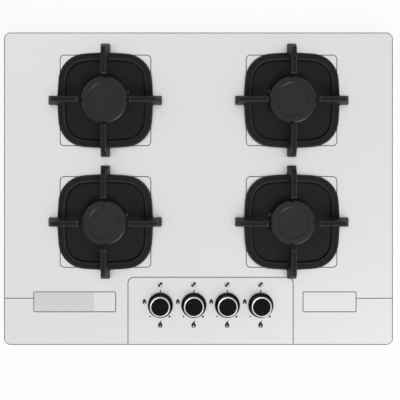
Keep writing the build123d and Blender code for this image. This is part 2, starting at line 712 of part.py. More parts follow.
    with BuildPart() as burner_cap:
        step_radius = burner.cap_radius - CAP_STEP_INSET
        crown = cap_bottom + CAP_HEIGHT
        edge = (burner.cap_radius, crown - CAP_EDGE_FALL)
        skirt_outer = rim_bore - CUP_CLEARANCE
        skirt_inner = skirt_outer - CAP_SKIRT_WALL
        with BuildSketch(Plane.XZ) as section:
            with BuildLine():
                Polyline(
                    (0, crown - CAP_RECESS),
                    (0, cap_bottom + CAP_RECESS),
                    (skirt_inner, cap_bottom + CAP_RECESS),
                    (skirt_inner, cap_bottom - CAP_SKIRT_DEPTH),
                    (skirt_outer, cap_bottom - CAP_SKIRT_DEPTH),
                    (skirt_outer, cap_bottom),
                    (burner.cap_radius, cap_bottom),
                    edge,
                    (step_radius + CAP_RECESS, crown),
                    (step_radius, crown - CAP_RECESS),
                    close=True,
                )
            make_face()
            fillet(section.vertices().sort_by_distance(edge)[0], CAP_RIM_BREAK)
            crest = section.vertices().sort_by_distance((step_radius + CAP_RECESS, crown))[0]
            fillet(crest, CAP_RECESS / 2)
        revolve(axis=Axis.Z)
    burner_cap.part = burner_cap.part.moved(Location((burner.x, burner.y, plate_face)))
    save(burner_cap, f"burner_cap_{burner.name}")

with BuildPart() as burner_screws:
    with Locations(*[(x, y, plate_face) for x, y in burner_screw_places]):
        add(pan_head_screw(SHEET + FLANGE_THICKNESS + SCREW_BITE))
save(burner_screws, "burner_screws")

with BuildPart() as injectors:
    injector_seat = CUP_FLOOR - CUP_DEPTH
    thread_radius = PIPE_RADIUS - PIPE_WALL - PRESS_CLEARANCE
    with BuildSketch(Plane.XZ):
        with BuildLine():
            Polyline(
                (INJECTOR_BORE_RADIUS, injector_seat - INJECTOR_THREAD_LENGTH),
                (thread_radius, injector_seat - INJECTOR_THREAD_LENGTH),
                (thread_radius, injector_seat),
                (PIPE_RADIUS + PIPE_WALL, injector_seat),
                (PIPE_RADIUS + PIPE_WALL, injector_seat + INJECTOR_HEAD_HEIGHT),
                (PIPE_RADIUS - PIPE_WALL, injector_seat + INJECTOR_HEAD_HEIGHT + PIPE_WALL),
                (INJECTOR_TIP_RADIUS, injector_seat + INJECTOR_TIP_HEIGHT),
                (INJECTOR_BORE_RADIUS, injector_seat + INJECTOR_TIP_HEIGHT),
                close=True,
            )
        make_face()
    revolve(axis=Axis.Z)
    jet = injectors.part
    injectors.part = None
    with Locations(*[(burner.x, burner.y, plate_face) for burner in BURNERS]):
        add(jet)
save(injectors, "injectors")

with BuildPart() as drip_plates:
    for burner in BURNERS:
        cup_radius = burner.cap_radius - CUP_INSET
        with BuildPart(mode=Mode.PRIVATE) as drip_plate:
            with BuildSketch():
                add(crowned_square(drip_half))
            extrude(amount=DRIP_HEIGHT)
            fillet(drip_plate.faces().sort_by(Axis.Z)[-1].edges(), 1.5 * SHEET)
            offset(amount=-SHEET, openings=drip_plate.faces().sort_by(Axis.Z)[0])
            with BuildSketch():
                add(crowned_square(drip_half + DRIP_FLANGE))
                add(crowned_square(drip_half - SHEET), mode=Mode.SUBTRACT)
            extrude(amount=SHEET)
            stems = (
                ((burner.x, burner.y), cup_radius + DRIP_HOLE_MARGIN),
                (around(burner, ELECTRODE_OUTSET, ELECTRODE_ANGLE), INSULATOR_RADIUS + HOLE_CLEARANCE),
                (around(burner, PROBE_OUTSET, PROBE_ANGLE), PROBE_RADIUS + HOLE_CLEARANCE),
            )
            for (x, y), radius in stems:
                with Locations((x - burner.x, y - burner.y, DRIP_HEIGHT / 2)):
                    Cylinder(radius, 2 * DRIP_HEIGHT, mode=Mode.SUBTRACT)
        with Locations((burner.x, burner.y, plate_face)):
            add(drip_plate.part)
save(drip_plates, "drip_plates")

with BuildPart() as spark_electrodes:
    stem_bottom = -STEM_DEPTH
    collar_top = -SHEET - FLANGE_THICKNESS
    with Locations(*[(x, y, plate_face) for x, y in electrode_places]):
        with Locations((0, 0, (stem_bottom + INSULATOR_TOP) / 2)):
            Cylinder(INSULATOR_RADIUS, INSULATOR_TOP - stem_bottom)
        with Locations((0, 0, collar_top - COLLAR_HEIGHT / 2)):
            Cylinder(COLLAR_RADIUS, COLLAR_HEIGHT)
        with Locations((0, 0, (INSULATOR_TOP + ELECTRODE_TOP) / 2)):
            Cylinder(ELECTRODE_RADIUS, ELECTRODE_TOP - INSULATOR_TOP)
save(spark_electrodes, "spark_electrodes")

# ---------------------------------------------------------------- pan supports

# Side view of one arm, and the draft of the casting that narrows it upwards
with BuildPart() as arm_side:
    with BuildSketch(Plane.XZ) as side_view:
        with BuildLine():
            outside = Polyline(
                (ARM_INNER_RADIUS + 1, SUPPORT_HEIGHT - ARM_TIP_DEPTH),
                (ARM_INNER_RADIUS, SUPPORT_HEIGHT),
                (ARM_TOP_OUTER_RADIUS, SUPPORT_HEIGHT),
                (ARM_FOOT_OUTER_RADIUS, SUPPORT_RING_TOP),
                (ARM_FOOT_OUTER_RADIUS, REST_GAP),
                (SUPPORT_HALF - SUPPORT_BAND / 2, REST_GAP),
                (SUPPORT_HALF - SUPPORT_BAND / 2, SUPPORT_RING_TOP + 1),
            )
            ThreePointArc(
                outside @ 1,
                (SUPPORT_HALF - 1.6 * SUPPORT_BAND, SUPPORT_HEIGHT - 1.45 * ARM_TIP_DEPTH),
                outside @ 0,
            )
        make_face()
        fillet(side_view.vertices().group_by(Axis.Y)[-1].sort_by(Axis.X)[0], ARM_TIP_RADIUS)
        fillet(side_view.vertices().group_by(Axis.Y)[-1].sort_by(Axis.X)[-1], ARM_SHOULDER_RADIUS)
    extrude(amount=ARM_FOOT_WIDTH, both=True)

with BuildPart() as arm_draft:
    with BuildSketch(Plane.YZ) as cross_section:
        with BuildLine():
            flank = Polyline(
                (0, SUPPORT_HEIGHT),
                (ARM_TOP_WIDTH / 2, SUPPORT_HEIGHT),
                (ARM_TOP_WIDTH / 2 + ARM_EDGE_RADIUS / 2, SUPPORT_HEIGHT - ARM_TIP_DEPTH),
                (ARM_FOOT_WIDTH / 2 - ARM_EDGE_RADIUS / 3, SUPPORT_RING_TOP),
                (ARM_FOOT_WIDTH / 2, 0),
                (0, 0),
            )
            mirror(flank, about=Plane.YZ)
        make_face()
        fillet(cross_section.vertices().group_by(Axis.Y)[-1], ARM_EDGE_RADIUS)
    extrude(amount=2 * ARM_FOOT_OUTER_RADIUS)

arm = arm_side.part & arm_draft.part

with BuildPart() as cast_support:
    # Ring that goes round the drip plate
    with BuildSketch(Plane.XY.offset(SUPPORT_RING_BOTTOM)):
        add(crowned_square(SUPPORT_HALF))
        add(crowned_square(SUPPORT_HALF - SUPPORT_BAND), mode=Mode.SUBTRACT)
    extrude(amount=SUPPORT_RING_TOP - SUPPORT_RING_BOTTOM)
    fillet(cast_support.faces().sort_by(Axis.Z)[-1].edges(), SUPPORT_RING_EDGE_RADIUS)
    with PolarLocations(0, 4):
        add(arm)

for burner in BURNERS:
    with BuildPart() as pan_support:
        with Locations((burner.x, burner.y, plate_face)):
            add(cast_support.part)
    save(pan_support, f"pan_support_{burner.name}")

# ---------------------------------------------------------------- knobs and taps

for name, x in knob_x.items():
    knob_place = Location((x, knob_y, plate_face))
    tap_place = Location((x, knob_y, 0))
    ring_seat = KNOB_TOP - RING_HEIGHT + REST_GAP
    tang_bottom = PLUG_SLOT_FLOOR + KNOB_TRAVEL + TRAVEL_MARGIN
    collar_bottom = PLUG_TOP + KNOB_TRAVEL + TRAVEL_MARGIN
    spindle_collar_top = collar_bottom + SPINDLE_COLLAR_HEIGHT

    with BuildPart() as knob:
        with BuildSketch(Plane.XZ):
            with BuildLine():
                outside = Polyline(
                    (0, KNOB_TOP - 0.6),
                    (RING_INNER_RADIUS - 1, KNOB_TOP - 0.2),
                    (RING_INNER_RADIUS - PRESS_CLEARANCE, KNOB_TOP - 0.8),
                    (RING_INNER_RADIUS - PRESS_CLEARANCE, ring_seat),
                    (KNOB_BODY_RADIUS, ring_seat),
                    (KNOB_BODY_RADIUS + 0.4, knob_gap + 7),
                )
                skirt = ThreePointArc(
                    outside @ 1,
                    (KNOB_BODY_RADIUS + 1.2, knob_gap + 3.6),
                    (KNOB_SKIRT_RADIUS - 0.4, knob_gap + 1.6),
                )
                Polyline(
                    skirt @ 1,
                    (KNOB_SKIRT_RADIUS, knob_gap + 1.2),
                    (KNOB_SKIRT_RADIUS, knob_gap),
                    (KNOB_SKIRT_RADIUS - KNOB_WALL, knob_gap),
                    (KNOB_BODY_RADIUS - KNOB_WALL, knob_gap + 4),
                    (KNOB_BODY_RADIUS - KNOB_WALL, SPINDLE_TOP),
                    (KNOB_BOSS_RADIUS, SPINDLE_TOP),
                    (KNOB_BOSS_RADIUS, knob_gap + 1),
                    (0, knob_gap + 1),
                    (0, KNOB_TOP - 0.6),
                )
            make_face()
        revolve(axis=Axis.Z)
        # Raised pointer on the skirt, towards the off mark while the tap is shut
        with BuildSketch(Plane.YZ):
            with BuildLine():
                Polyline(
                    (KNOB_BODY_RADIUS - KNOB_WALL / 2, knob_gap + 4),
                    (KNOB_SKIRT_RADIUS - KNOB_WALL / 2, knob_gap + 1),
                    (KNOB_SKIRT_RADIUS, knob_gap + POINTER_RISE),
                    (KNOB_BODY_RADIUS, ring_seat - POINTER_RISE),
                    close=True,
                )
            make_face()
        extrude(amount=POINTER_WIDTH / 2, both=True)
        # D-shaped bore for the spindle, its flat towards the off mark
        with BuildSketch(Plane.XY.offset(knob_gap)):
            Circle(SPINDLE_RADIUS + PRESS_CLEARANCE)
            with Locations((0, SPINDLE_FLAT + PRESS_CLEARANCE + SPINDLE_RADIUS)):
                Rectangle(2 * KNOB_BOSS_RADIUS, 2 * SPINDLE_RADIUS, mode=Mode.SUBTRACT)
        extrude(amount=SPINDLE_TOP + PRESS_CLEARANCE - knob_gap, mode=Mode.SUBTRACT)
    knob.part = knob.part.moved(knob_place)
    save(knob, f"knob_{name}")

    with BuildPart() as knob_ring:
        with BuildSketch(Plane.XY.offset(ring_seat)):
            Circle(KNOB_BODY_RADIUS)
            Circle(RING_INNER_RADIUS, mode=Mode.SUBTRACT)
        extrude(amount=RING_HEIGHT)
        fillet(knob_ring.faces().sort_by(Axis.Z)[-1].edges(), 0.7)
    knob_ring.part = knob_ring.part.moved(knob_place)
    save(knob_ring, f"knob_ring_{name}")

    with BuildPart() as tap_spindle:
        with Locations((0, 0, tang_bottom)):
            Box(
                TANG_WIDTH,
                PLUG_SLOT_WIDTH - 2 * SLIDING_CLEARANCE,
                collar_bottom - tang_bottom,
                align=(Align.CENTER, Align.CENTER, Align.MIN),
            )
        with BuildSketch(Plane.XY.offset(collar_bottom)):
            Circle(SPINDLE_COLLAR_RADIUS)
        extrude(amount=SPINDLE_COLLAR_HEIGHT)
        with BuildSketch(Plane.XY.offset(spindle_collar_top)):
            Circle(SPINDLE_RADIUS)
        extrude(amount=plate_face + SPINDLE_TOP - spindle_collar_top)
        chamfer(tap_spindle.faces().sort_by(Axis.Z)[-1].edges(), 0.5)
        # Flat for the knob
        with Locations((0, SPINDLE_FLAT, plate_face + knob_gap)):
            Box(
                2 * SPINDLE_RADIUS,
                SPINDLE_RADIUS,
                KNOB_TOP,
                align=(Align.CENTER, Align.MIN, Align.MIN),
                mode=Mode.SUBTRACT,
            )
    tap_spindle.part = tap_spindle.part.moved(tap_place)
    save(tap_spindle, f"tap_spindle_{name}")

    with BuildPart() as tap_plug:
        with BuildSketch(Plane.XY.offset(PLUG_BOTTOM + SLIDING_CLEARANCE)):
            Circle(PLUG_BOTTOM_RADIUS)
        with BuildSketch(Plane.XY.offset(PLUG_TOP)):
            Circle(PLUG_TOP_RADIUS)
        loft()
        # Gas way across the plug, shut while it lies across the inlet, and the spindle's slot
        with Locations(Location((0, 0, PIPE_LEVEL), (0, 90, 0))):
            Cylinder(PLUG_PORT_RADIUS, 3 * PLUG_TOP_RADIUS, mode=Mode.SUBTRACT)
        with Locations((0, 0, PLUG_SLOT_FLOOR)):
            Box(
                3 * PLUG_TOP_RADIUS,
                PLUG_SLOT_WIDTH,
                PLUG_TOP,
                align=(Align.CENTER, Align.CENTER, Align.MIN),
                mode=Mode.SUBTRACT,
            )
    tap_plug.part = tap_plug.part.moved(tap_place)
    save(tap_plug, f"tap_plug_{name}")

    with BuildPart() as gas_tap:
        # Body, neck, foot and the saddle on the gas rail
        with BuildSketch(Plane.XY.offset(TAP_BOTTOM)):
            Circle(TAP_RADIUS)
        extrude(amount=TAP_TOP - TAP_BOTTOM)
        with BuildSketch(Plane.XY.offset(TAP_TOP)):
            Circle(TAP_NECK_RADIUS)
        extrude(amount=TAP_NECK_TOP - TAP_TOP)
        with BuildSketch(Plane.XY.offset(SHEET)):
            SlotOverall(TAP_FOOT_LENGTH, TAP_FOOT_WIDTH)
        extrude(amount=TAP_FOOT_HEIGHT)
        with BuildSketch(Plane.XY.offset(SHEET + TAP_FOOT_HEIGHT)):
            Circle(TAP_FOOT_WIDTH / 2)
        extrude(amount=TAP_BOTTOM - SHEET - TAP_FOOT_HEIGHT)
        with Locations((0, TAP_SADDLE_OFFSET - RAIL_DISTANCE, PIPE_LEVEL)):
            Box(
                TAP_SADDLE_WIDTH,
                RAIL_DISTANCE - TAP_SADDLE_OFFSET,
                TAP_SADDLE_HEIGHT,
                align=(Align.CENTER, Align.MIN, Align.CENTER),
            )
        # Outlet with its nut, towards the burners
        with BuildSketch(Plane.XZ.offset(-TAP_OUTLET_REACH)):
            with Locations((0, PIPE_LEVEL)):
                Circle(FITTING_RADIUS)
        extrude(amount=TAP_OUTLET_REACH)
        with BuildSketch(Plane.XZ.offset(-TAP_OUTLET_REACH)):
            with Locations((0, PIPE_LEVEL)):
                RegularPolygon(FITTING_NUT_RADIUS, 6)
        extrude(amount=FITTING_NUT_LENGTH)
        # Tapered seat for the plug, room for the spindle's collar, and the neck's bore
        with BuildSketch(Plane.XY.offset(PLUG_BOTTOM)):
            Circle(PLUG_BOTTOM_RADIUS + RUNNING_CLEARANCE)
        with BuildSketch(Plane.XY.offset(PLUG_TOP)):
            Circle(PLUG_TOP_RADIUS + RUNNING_CLEARANCE)
        loft(mode=Mode.SUBTRACT)
        with BuildSketch(Plane.XY.offset(PLUG_TOP)):
            Circle(PLUG_TOP_RADIUS + RUNNING_CLEARANCE)
        extrude(amount=spindle_collar_top + REST_GAP - PLUG_TOP, mode=Mode.SUBTRACT)
        with BuildSketch(Plane.XY.offset(spindle_collar_top)):
            Circle(SPINDLE_RADIUS + SLIDING_CLEARANCE)
        extrude(amount=TAP_NECK_TOP - spindle_collar_top, mode=Mode.SUBTRACT)
        # Gas way from the rail to the outlet, and the pipe's socket
        with BuildSketch(Plane.XZ.offset(RAIL_DISTANCE)):
            with Locations((0, PIPE_LEVEL)):
                Circle(PLUG_PORT_RADIUS)
        extrude(amount=-RAIL_DISTANCE - TAP_OUTLET_REACH, mode=Mode.SUBTRACT)
        with BuildSketch(Plane.XZ.offset(-TAP_OUTLET_REACH)):
            with Locations((0, PIPE_LEVEL)):
                Circle(PIPE_RADIUS + PRESS_CLEARANCE)
        extrude(amount=PIPE_INSERTION, mode=Mode.SUBTRACT)
        with Locations(Location((0, -RAIL_DISTANCE, PIPE_LEVEL), (0, 90, 0))):
            Cylinder(RAIL_RADIUS + RUNNING_CLEARANCE, 4 * TAP_RADIUS, mode=Mode.SUBTRACT)
        with Locations((-TAP_SCREW_REACH, 0, SHEET), (TAP_SCREW_REACH, 0, SHEET)):
            Cylinder(SCREW_HOLE_RADIUS, 3 * TAP_FOOT_HEIGHT, mode=Mode.SUBTRACT)
    gas_tap.part = gas_tap.part.moved(tap_place)
    save(gas_tap, f"gas_tap_{name}")

with BuildPart() as tap_screws:
    with Locations(*[(x, y, SHEET + TAP_FOOT_HEIGHT) for x, y in tap_foot_screws]):
        add(pan_head_screw(SHEET + TAP_FOOT_HEIGHT - PRESS_CLEARANCE))
save(tap_screws, "tap_screws")

with BuildPart() as knob_seals:
    neck_radius = KNOB_HOLE_RADIUS - SLIDING_CLEARANCE
    with BuildSketch(Plane.XZ):
        with BuildLine():
            Polyline(
                (SEAL_BORE_RADIUS, -3 * SHEET),
                (neck_radius + 0.5, -3 * SHEET),
                (neck_radius + 1, -SHEET),
                (neck_radius, -SHEET),
                (neck_radius, 0),
                (SEAL_LIP_RADIUS, 0),
                (SEAL_LIP_RADIUS - 0.5, SEAL_LIP_HEIGHT),
                (SEAL_BORE_RADIUS, SEAL_LIP_HEIGHT),
                close=True,
            )
        make_face()
    revolve(axis=Axis.Z)
    grommet = knob_seals.part
    knob_seals.part = None
    with Locations(*[(x, knob_y, plate_face) for x in knob_x.values()]):
        add(grommet)
save(knob_seals, "knob_seals")

# ---------------------------------------------------------------- gas pipes and wiring

rail_start = min(knob_x.values()) - RAIL_OVERRUN
inlet_start = tray_inner_y - INLET_LENGTH

with BuildPart() as gas_manifold:
    rail_run = [
        (rail_start, rail_y, PIPE_LEVEL),
        (inlet_x, rail_y, PIPE_LEVEL),
        (inlet_x, inlet_start + PIPE_INSERTION, PIPE_LEVEL),
    ]
    add(tube(rail_run, RAIL_RADIUS, RAIL_WALL, RAIL_BEND_RADIUS))
    with Locations(Location((rail_start, rail_y, PIPE_LEVEL), (0, 90, 0))):
        Cylinder(RAIL_RADIUS, RAIL_WALL)
save(gas_manifold, "gas_manifold")

with BuildPart() as gas_inlet:
    with BuildSketch(Plane.XZ.offset(-inlet_start)):
        with Locations((inlet_x, PIPE_LEVEL)):
            Circle(INLET_BODY_RADIUS)
    extrude(amount=-(tray_inner_y - inlet_start))
    with BuildSketch(Plane.XZ.offset(-tray_inner_y)):
        with Locations((inlet_x, PIPE_LEVEL)):
            RegularPolygon(INLET_NUT_RADIUS, 6)
    extrude(amount=INLET_NUT_LENGTH)
    with BuildSketch(Plane.XZ.offset(-tray_inner_y)):
        with Locations((inlet_x, PIPE_LEVEL)):
            Circle(INLET_BODY_RADIUS)
    extrude(amount=-INLET_NECK_LENGTH)
    with BuildSketch(Plane.XZ.offset(-tray_inner_y - INLET_NECK_LENGTH)):
        with Locations((inlet_x, PIPE_LEVEL)):
            Circle(INLET_THREAD_RADIUS)
    extrude(amount=-INLET_THREAD_LENGTH)
    chamfer(gas_inlet.faces().sort_by(Axis.Y)[-1].edges(), 1)
    with BuildSketch(Plane.XZ.offset(-inlet_start)):
        with Locations((inlet_x, PIPE_LEVEL)):
            Circle(RAIL_RADIUS + PRESS_CLEARANCE)
    extrude(amount=-PIPE_INSERTION, mode=Mode.SUBTRACT)
    with BuildSketch(Plane.XZ.offset(-inlet_start)):
        with Locations((inlet_x, PIPE_LEVEL)):
            Circle(RAIL_RADIUS - RAIL_WALL)
    extrude(amount=-PLATE_DEPTH / 2, mode=Mode.SUBTRACT)
save(gas_inlet, "gas_inlet")

# Each pipe leaves its tap towards the rear, crosses to its burner and enters from the front
for burner in BURNERS:
    cross_y = burner.y - PIPE_CROSSING
    inlet_y = burner.y - (burner.cap_radius - CUP_INSET) - BURNER_INLET_REACH + PIPE_INSERTION
    outlet_y = knob_y + TAP_OUTLET_REACH - PIPE_INSERTION
    with BuildPart() as supply_pipe:
        pipe_run = [
            (knob_x[burner.name], outlet_y, PIPE_LEVEL),
            (knob_x[burner.name], cross_y, PIPE_LEVEL),
            (burner.x, cross_y, PIPE_LEVEL),
            (burner.x, inlet_y, PIPE_LEVEL),
        ]
        add(tube(pipe_run, PIPE_RADIUS, PIPE_WALL, PIPE_BEND_RADIUS))
    save(supply_pipe, f"supply_pipe_{burner.name}")

with BuildPart() as thermocouples:
    with Locations(*[(x, y, plate_face) for x, y in probe_places]):
        with Locations((0, 0, (PROBE_TOP - STEM_DEPTH) / 2)):
            Cylinder(PROBE_RADIUS, STEM_DEPTH + PROBE_TOP)
        with Locations((0, 0, -SHEET - FLANGE_THICKNESS - COLLAR_HEIGHT / 2)):
            Cylinder(COLLAR_RADIUS, COLLAR_HEIGHT)
save(thermocouples, "thermocouples")

# Capillary from each probe to its tap; those of the rear burners run between the front ones
with BuildPart() as thermocouple_leads:
    tap_rear = knob_y + TAP_RADIUS
    junction_y = knob_y + CAPILLARY_JUNCTION
    for burner, (x, y) in zip(BURNERS, probe_places):
        lane_x = CAPILLARY_LANE_X.get(burner.name, x)
        capillary_run = [(x, y, plate_face - STEM_DEPTH), (x, y, CAPILLARY_LEVEL)]
        if lane_x != x:
            capillary_run.append((lane_x, y, CAPILLARY_LEVEL))
        capillary_run += [
            (lane_x, junction_y, CAPILLARY_LEVEL),
            (knob_x[burner.name], junction_y, CAPILLARY_LEVEL),
            (knob_x[burner.name], tap_rear, CAPILLARY_LEVEL),
        ]
        add(tube(capillary_run, CAPILLARY_RADIUS, None, CAPILLARY_BEND_RADIUS))
save(thermocouple_leads, "thermocouple_leads")

with BuildPart() as spark_generator:
    with BuildSketch(Plane.XY.offset(SHEET)):
        with Locations((generator_x, GENERATOR_Y)):
            RectangleRounded(GENERATOR_LENGTH, GENERATOR_WIDTH, 3)
    extrude(amount=GENERATOR_HEIGHT)
    fillet(spark_generator.faces().sort_by(Axis.Z)[-1].edges(), 1)
    with BuildSketch(Plane.XY.offset(SHEET)):
        with Locations((generator_x, GENERATOR_Y)):
            RectangleRounded(GENERATOR_LENGTH / 2, GENERATOR_WIDTH + 2 * GENERATOR_EAR_REACH, 4)
            with GridLocations(0, GENERATOR_WIDTH + GENERATOR_EAR_REACH, 1, 2):
                Circle(SCREW_HOLE_RADIUS, mode=Mode.SUBTRACT)
    extrude(amount=GENERATOR_EAR_HEIGHT)
save(spark_generator, "spark_generator")

# Ignition leads, each in its own lane along the floor and then up to its electrode
with BuildPart() as spark_leads:
    for burner, (x, y) in zip(BURNERS, electrode_places):
        lane_y = GENERATOR_Y + LEAD_LANE_Y[burner.name]
        turn_x = LEAD_TURN_X.get(burner.name, x)
        lead_run = [
            (generator_x + GENERATOR_LENGTH / 2, lane_y, LEAD_LEVEL),
            (turn_x, lane_y, LEAD_LEVEL),
            (turn_x, y, LEAD_LEVEL),
        ]
        if turn_x != x:
            lead_run.append((x, y, LEAD_LEVEL))
        lead_run.append((x, y, plate_face - STEM_DEPTH))
        add(tube(lead_run, LEAD_RADIUS, None, LEAD_BEND_RADIUS))
save(spark_leads, "spark_leads")

with BuildPart() as terminal_block:
    with Locations((gland_x, tray_depth / 2 - TERMINAL_FROM_REAR, SHEET)):
        Box(
            TERMINAL_WIDTH,
            TERMINAL_DEPTH,
            TERMINAL_HEIGHT,
            align=(Align.CENTER, Align.CENTER, Align.MIN),
        )
        with GridLocations(TERMINAL_PITCH, 0, 3, 1):
            with Locations((0, 0, TERMINAL_HEIGHT)):
                Cylinder(TERMINAL_HOLE_RADIUS, 2 * TERMINAL_HOLE_DEPTH, mode=Mode.SUBTRACT)
    chamfer(terminal_block.faces().sort_by(Axis.Z)[-1].outer_wire().edges(), 1)
save(terminal_block, "terminal_block")

with BuildPart() as cable_gland:
    with Locations(Location((gland_x, tray_depth / 2, GLAND_LEVEL), (-90, 0, 0))):
        Cylinder(GLAND_RADIUS, GLAND_LENGTH)
        Cylinder(GLAND_NUT_RADIUS, GLAND_NUT_LENGTH, align=(Align.CENTER, Align.CENTER, Align.MIN))
        with Locations((0, 0, -SHEET)):
            Cylinder(GLAND_NUT_RADIUS, GLAND_NUT_LENGTH, align=(Align.CENTER, Align.CENTER, Align.MAX))
        Cylinder(GLAND_RADIUS / 2, 2 * GLAND_LENGTH, mode=Mode.SUBTRACT)
save(cable_gland, "cable_gland")
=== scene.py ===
"""Looks of a built-in gas cooktop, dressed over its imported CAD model.

Every operator finishes one piece or one group of like pieces. All lengths are metres in the CAD
model's frame: +X to the user's right, +Y to the rear, +Z up. Profiles are written in millimetres.
"""

import json
from math import atan2, cos, pi, radians, sin, tan

import bmesh
import bpy
from bpy.props import FloatProperty, FloatVectorProperty, IntProperty, PointerProperty
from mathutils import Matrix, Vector

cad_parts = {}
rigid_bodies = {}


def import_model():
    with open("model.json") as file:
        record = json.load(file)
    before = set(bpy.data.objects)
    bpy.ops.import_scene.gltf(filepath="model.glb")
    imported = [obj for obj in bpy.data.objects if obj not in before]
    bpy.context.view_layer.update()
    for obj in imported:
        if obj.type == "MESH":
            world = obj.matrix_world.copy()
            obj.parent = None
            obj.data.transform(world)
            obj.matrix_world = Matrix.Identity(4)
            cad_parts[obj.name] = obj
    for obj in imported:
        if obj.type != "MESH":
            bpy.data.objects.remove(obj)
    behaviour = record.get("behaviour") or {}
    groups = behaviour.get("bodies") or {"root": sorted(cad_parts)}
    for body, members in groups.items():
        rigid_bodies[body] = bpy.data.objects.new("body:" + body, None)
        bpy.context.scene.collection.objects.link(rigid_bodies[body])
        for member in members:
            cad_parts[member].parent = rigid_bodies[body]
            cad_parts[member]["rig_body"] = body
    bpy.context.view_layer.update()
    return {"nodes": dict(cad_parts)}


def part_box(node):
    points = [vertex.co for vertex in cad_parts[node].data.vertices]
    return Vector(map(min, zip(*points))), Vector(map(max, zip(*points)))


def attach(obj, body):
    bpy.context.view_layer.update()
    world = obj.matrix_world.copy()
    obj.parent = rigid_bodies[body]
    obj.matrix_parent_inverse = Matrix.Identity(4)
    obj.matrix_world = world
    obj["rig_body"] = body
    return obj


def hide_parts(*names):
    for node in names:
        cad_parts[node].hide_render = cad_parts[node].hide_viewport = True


bl_info = {
    "name": "Gas cooktop finish",
    "version": (1, 0, 0),
    "blender": (4, 5, 0),
    "location": "View3D > Sidebar > Cooktop",
    "description": "Dresses the CAD model of a gas cooktop for rendering",
    "category": "Object",
}

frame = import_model()
nodes = frame["nodes"]

MM = 0.001
BURNERS = ("rear_left", "rear_right", "front_left", "front_right")
PLATE_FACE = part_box("badge_plate")[0].z
SAME_POINT = 0.002 * MM
ON_AXIS = 1e-7
WHITE = (1.0, 1.0, 1.0, 1.0)

# ---------------------------------------------------------------- settings


def length(name, description, default, **limits):
    """Setting for a length in metres."""
    return FloatProperty(
        name=name,
        description=description,
        default=default,
        subtype="DISTANCE",
        unit="LENGTH",
        **limits,
    )


def count(name, description, default, least):
    """Setting for a whole number."""
    return IntProperty(name=name, description=description, default=default, min=least)


def base_colour(name, description, default):
    """Setting for a base colour."""
    return FloatVectorProperty(
        name=name,
        description=description,
        default=default,
        subtype="COLOR",
        min=0.0,
        max=1.0,
    )


def plate_point(name, description, default):
    """Setting for a point of the worktop plate, in metres."""
    return FloatVectorProperty(
        name=name,
        description=description,
        default=default,
        size=2,
        subtype="XYZ",
        unit="LENGTH",
    )


def watts(name, description, default):
    """Setting for the power of a light, in watts."""
    return FloatProperty(
        name=name,
        description=description,
        default=default,
        subtype="POWER",
        unit="POWER",
    )


class CooktopSizes(bpy.types.PropertyGroup):
    """Sizes of the details that the CAD model leaves plain."""

    casting_grain: length(
        "Casting mesh",
        "Edge length of the mesh that rounds off the cast pan supports",
        0.9 * MM,
        min=0.6 * MM,
    )
    casting_softness: count(
        "Casting softness", "Smoothing passes over the cast pan supports", 9, 0
    )
    port_count: count("Flame ports", "Number of flame ports round each burner head", 36, 3)
    port_width: length("Port width", "Width of one flame port", 2.0 * MM)
    port_depth: length(
        "Port depth", "Height of the flame ports below the head's rim", 4.5 * MM
    )
    recess_width: length(
        "Recess width", "Width of one slot of the cross recess in the screw heads", 0.9 * MM
    )
    print_thickness: length(
        "Print thickness", "Height of the printed marks above the plate", 0.05 * MM
    )
    turned_segments: count("Turned segments", "Facets round a turned piece", 128, 16)


class CooktopColours(bpy.types.PropertyGroup):
    """Base colours of the finishes."""

    steel: base_colour(
        "Stainless steel", "Brushed steel of the worktop plate", (0.72, 0.722, 0.732)
    )
    casting: base_colour(
        "Pan supports", "Black enamel on the cast pan supports", (0.0165, 0.0165, 0.0168)
    )
    cap: base_colour("Burner caps", "Matt enamel on the burner caps", (0.011, 0.011, 0.0112))
    enamel: base_colour("Drip plates", "Satin enamel on the drip plates", (0.018, 0.018, 0.0183))
    knob: base_colour("Knobs", "Moulded black plastic of the knobs", (0.004, 0.004, 0.0038))
    ink: base_colour("Printed marks", "Ink of the marks round the knobs", (0.014, 0.014, 0.015))


class CooktopStage(bpy.types.PropertyGroup):
    """Camera and light of the studio."""

    camera_height: length("Camera height", "Height of the camera above the worktop plate", 1.55)
    frame_width: length(
        "Frame width", "Width of the picture at the height of the worktop plate", 0.617
    )
    frame_middle: plate_point(
        "Frame middle",
        "Point of the worktop plate in the middle of the picture",
        (0.0023, -0.0174),
    )
    camera_place: plate_point(
        "Camera place", "Point of the worktop plate straight below the camera", (-0.014, 0.055)
    )
    key_power: watts("Key light", "Power of the soft light from the front right", 13.0)
    fill_power: watts("Fill light", "Power of the soft light from the rear left", 3.0)
    sheen_power: watts(
        "Sheen light",
        "Power of the wide light that only shows as a soft sheen in metal and enamel",
        8.0,
    )
    top_power: watts(
        "Top light",
        "Power of the soft light from above the front, which casts the shadows",
        26.0,
    )
    surround: FloatProperty(
        name="Surround",
        description="Strength of the even light from all round",
        default=0.22,
        subtype="FACTOR",
        min=0.0,
        max=1.0,
    )


# ---------------------------------------------------------------- outlines and meshes


def rounded_outline(corners, steps=6):
    """Closed outline in metres from corners of (across, up, rounding) in millimetres."""
    outline = []
    for place, (across, up, rounding) in enumerate(corners):
        here = Vector((across, up))
        to_last = (Vector(corners[place - 1][:2]) - here).normalized()
        to_next = (Vector(corners[(place + 1) % len(corners)][:2]) - here).normalized()
        if not rounding:
            outline.append(here * MM)
            continue
        half = to_last.angle(to_next) / 2
        centre = here + (to_last + to_next).normalized() * rounding / sin(half)
        start = here + to_last * rounding / tan(half) - centre
        end = here + to_next * rounding / tan(half) - centre
        first = atan2(start.y, start.x)
        sweep = (atan2(end.y, end.x) - first + pi) % (2 * pi) - pi
        for step in range(steps + 1):
            angle = first + sweep * step / steps
            outline.append((centre + Vector((cos(angle), sin(angle))) * rounding) * MM)
    return outline


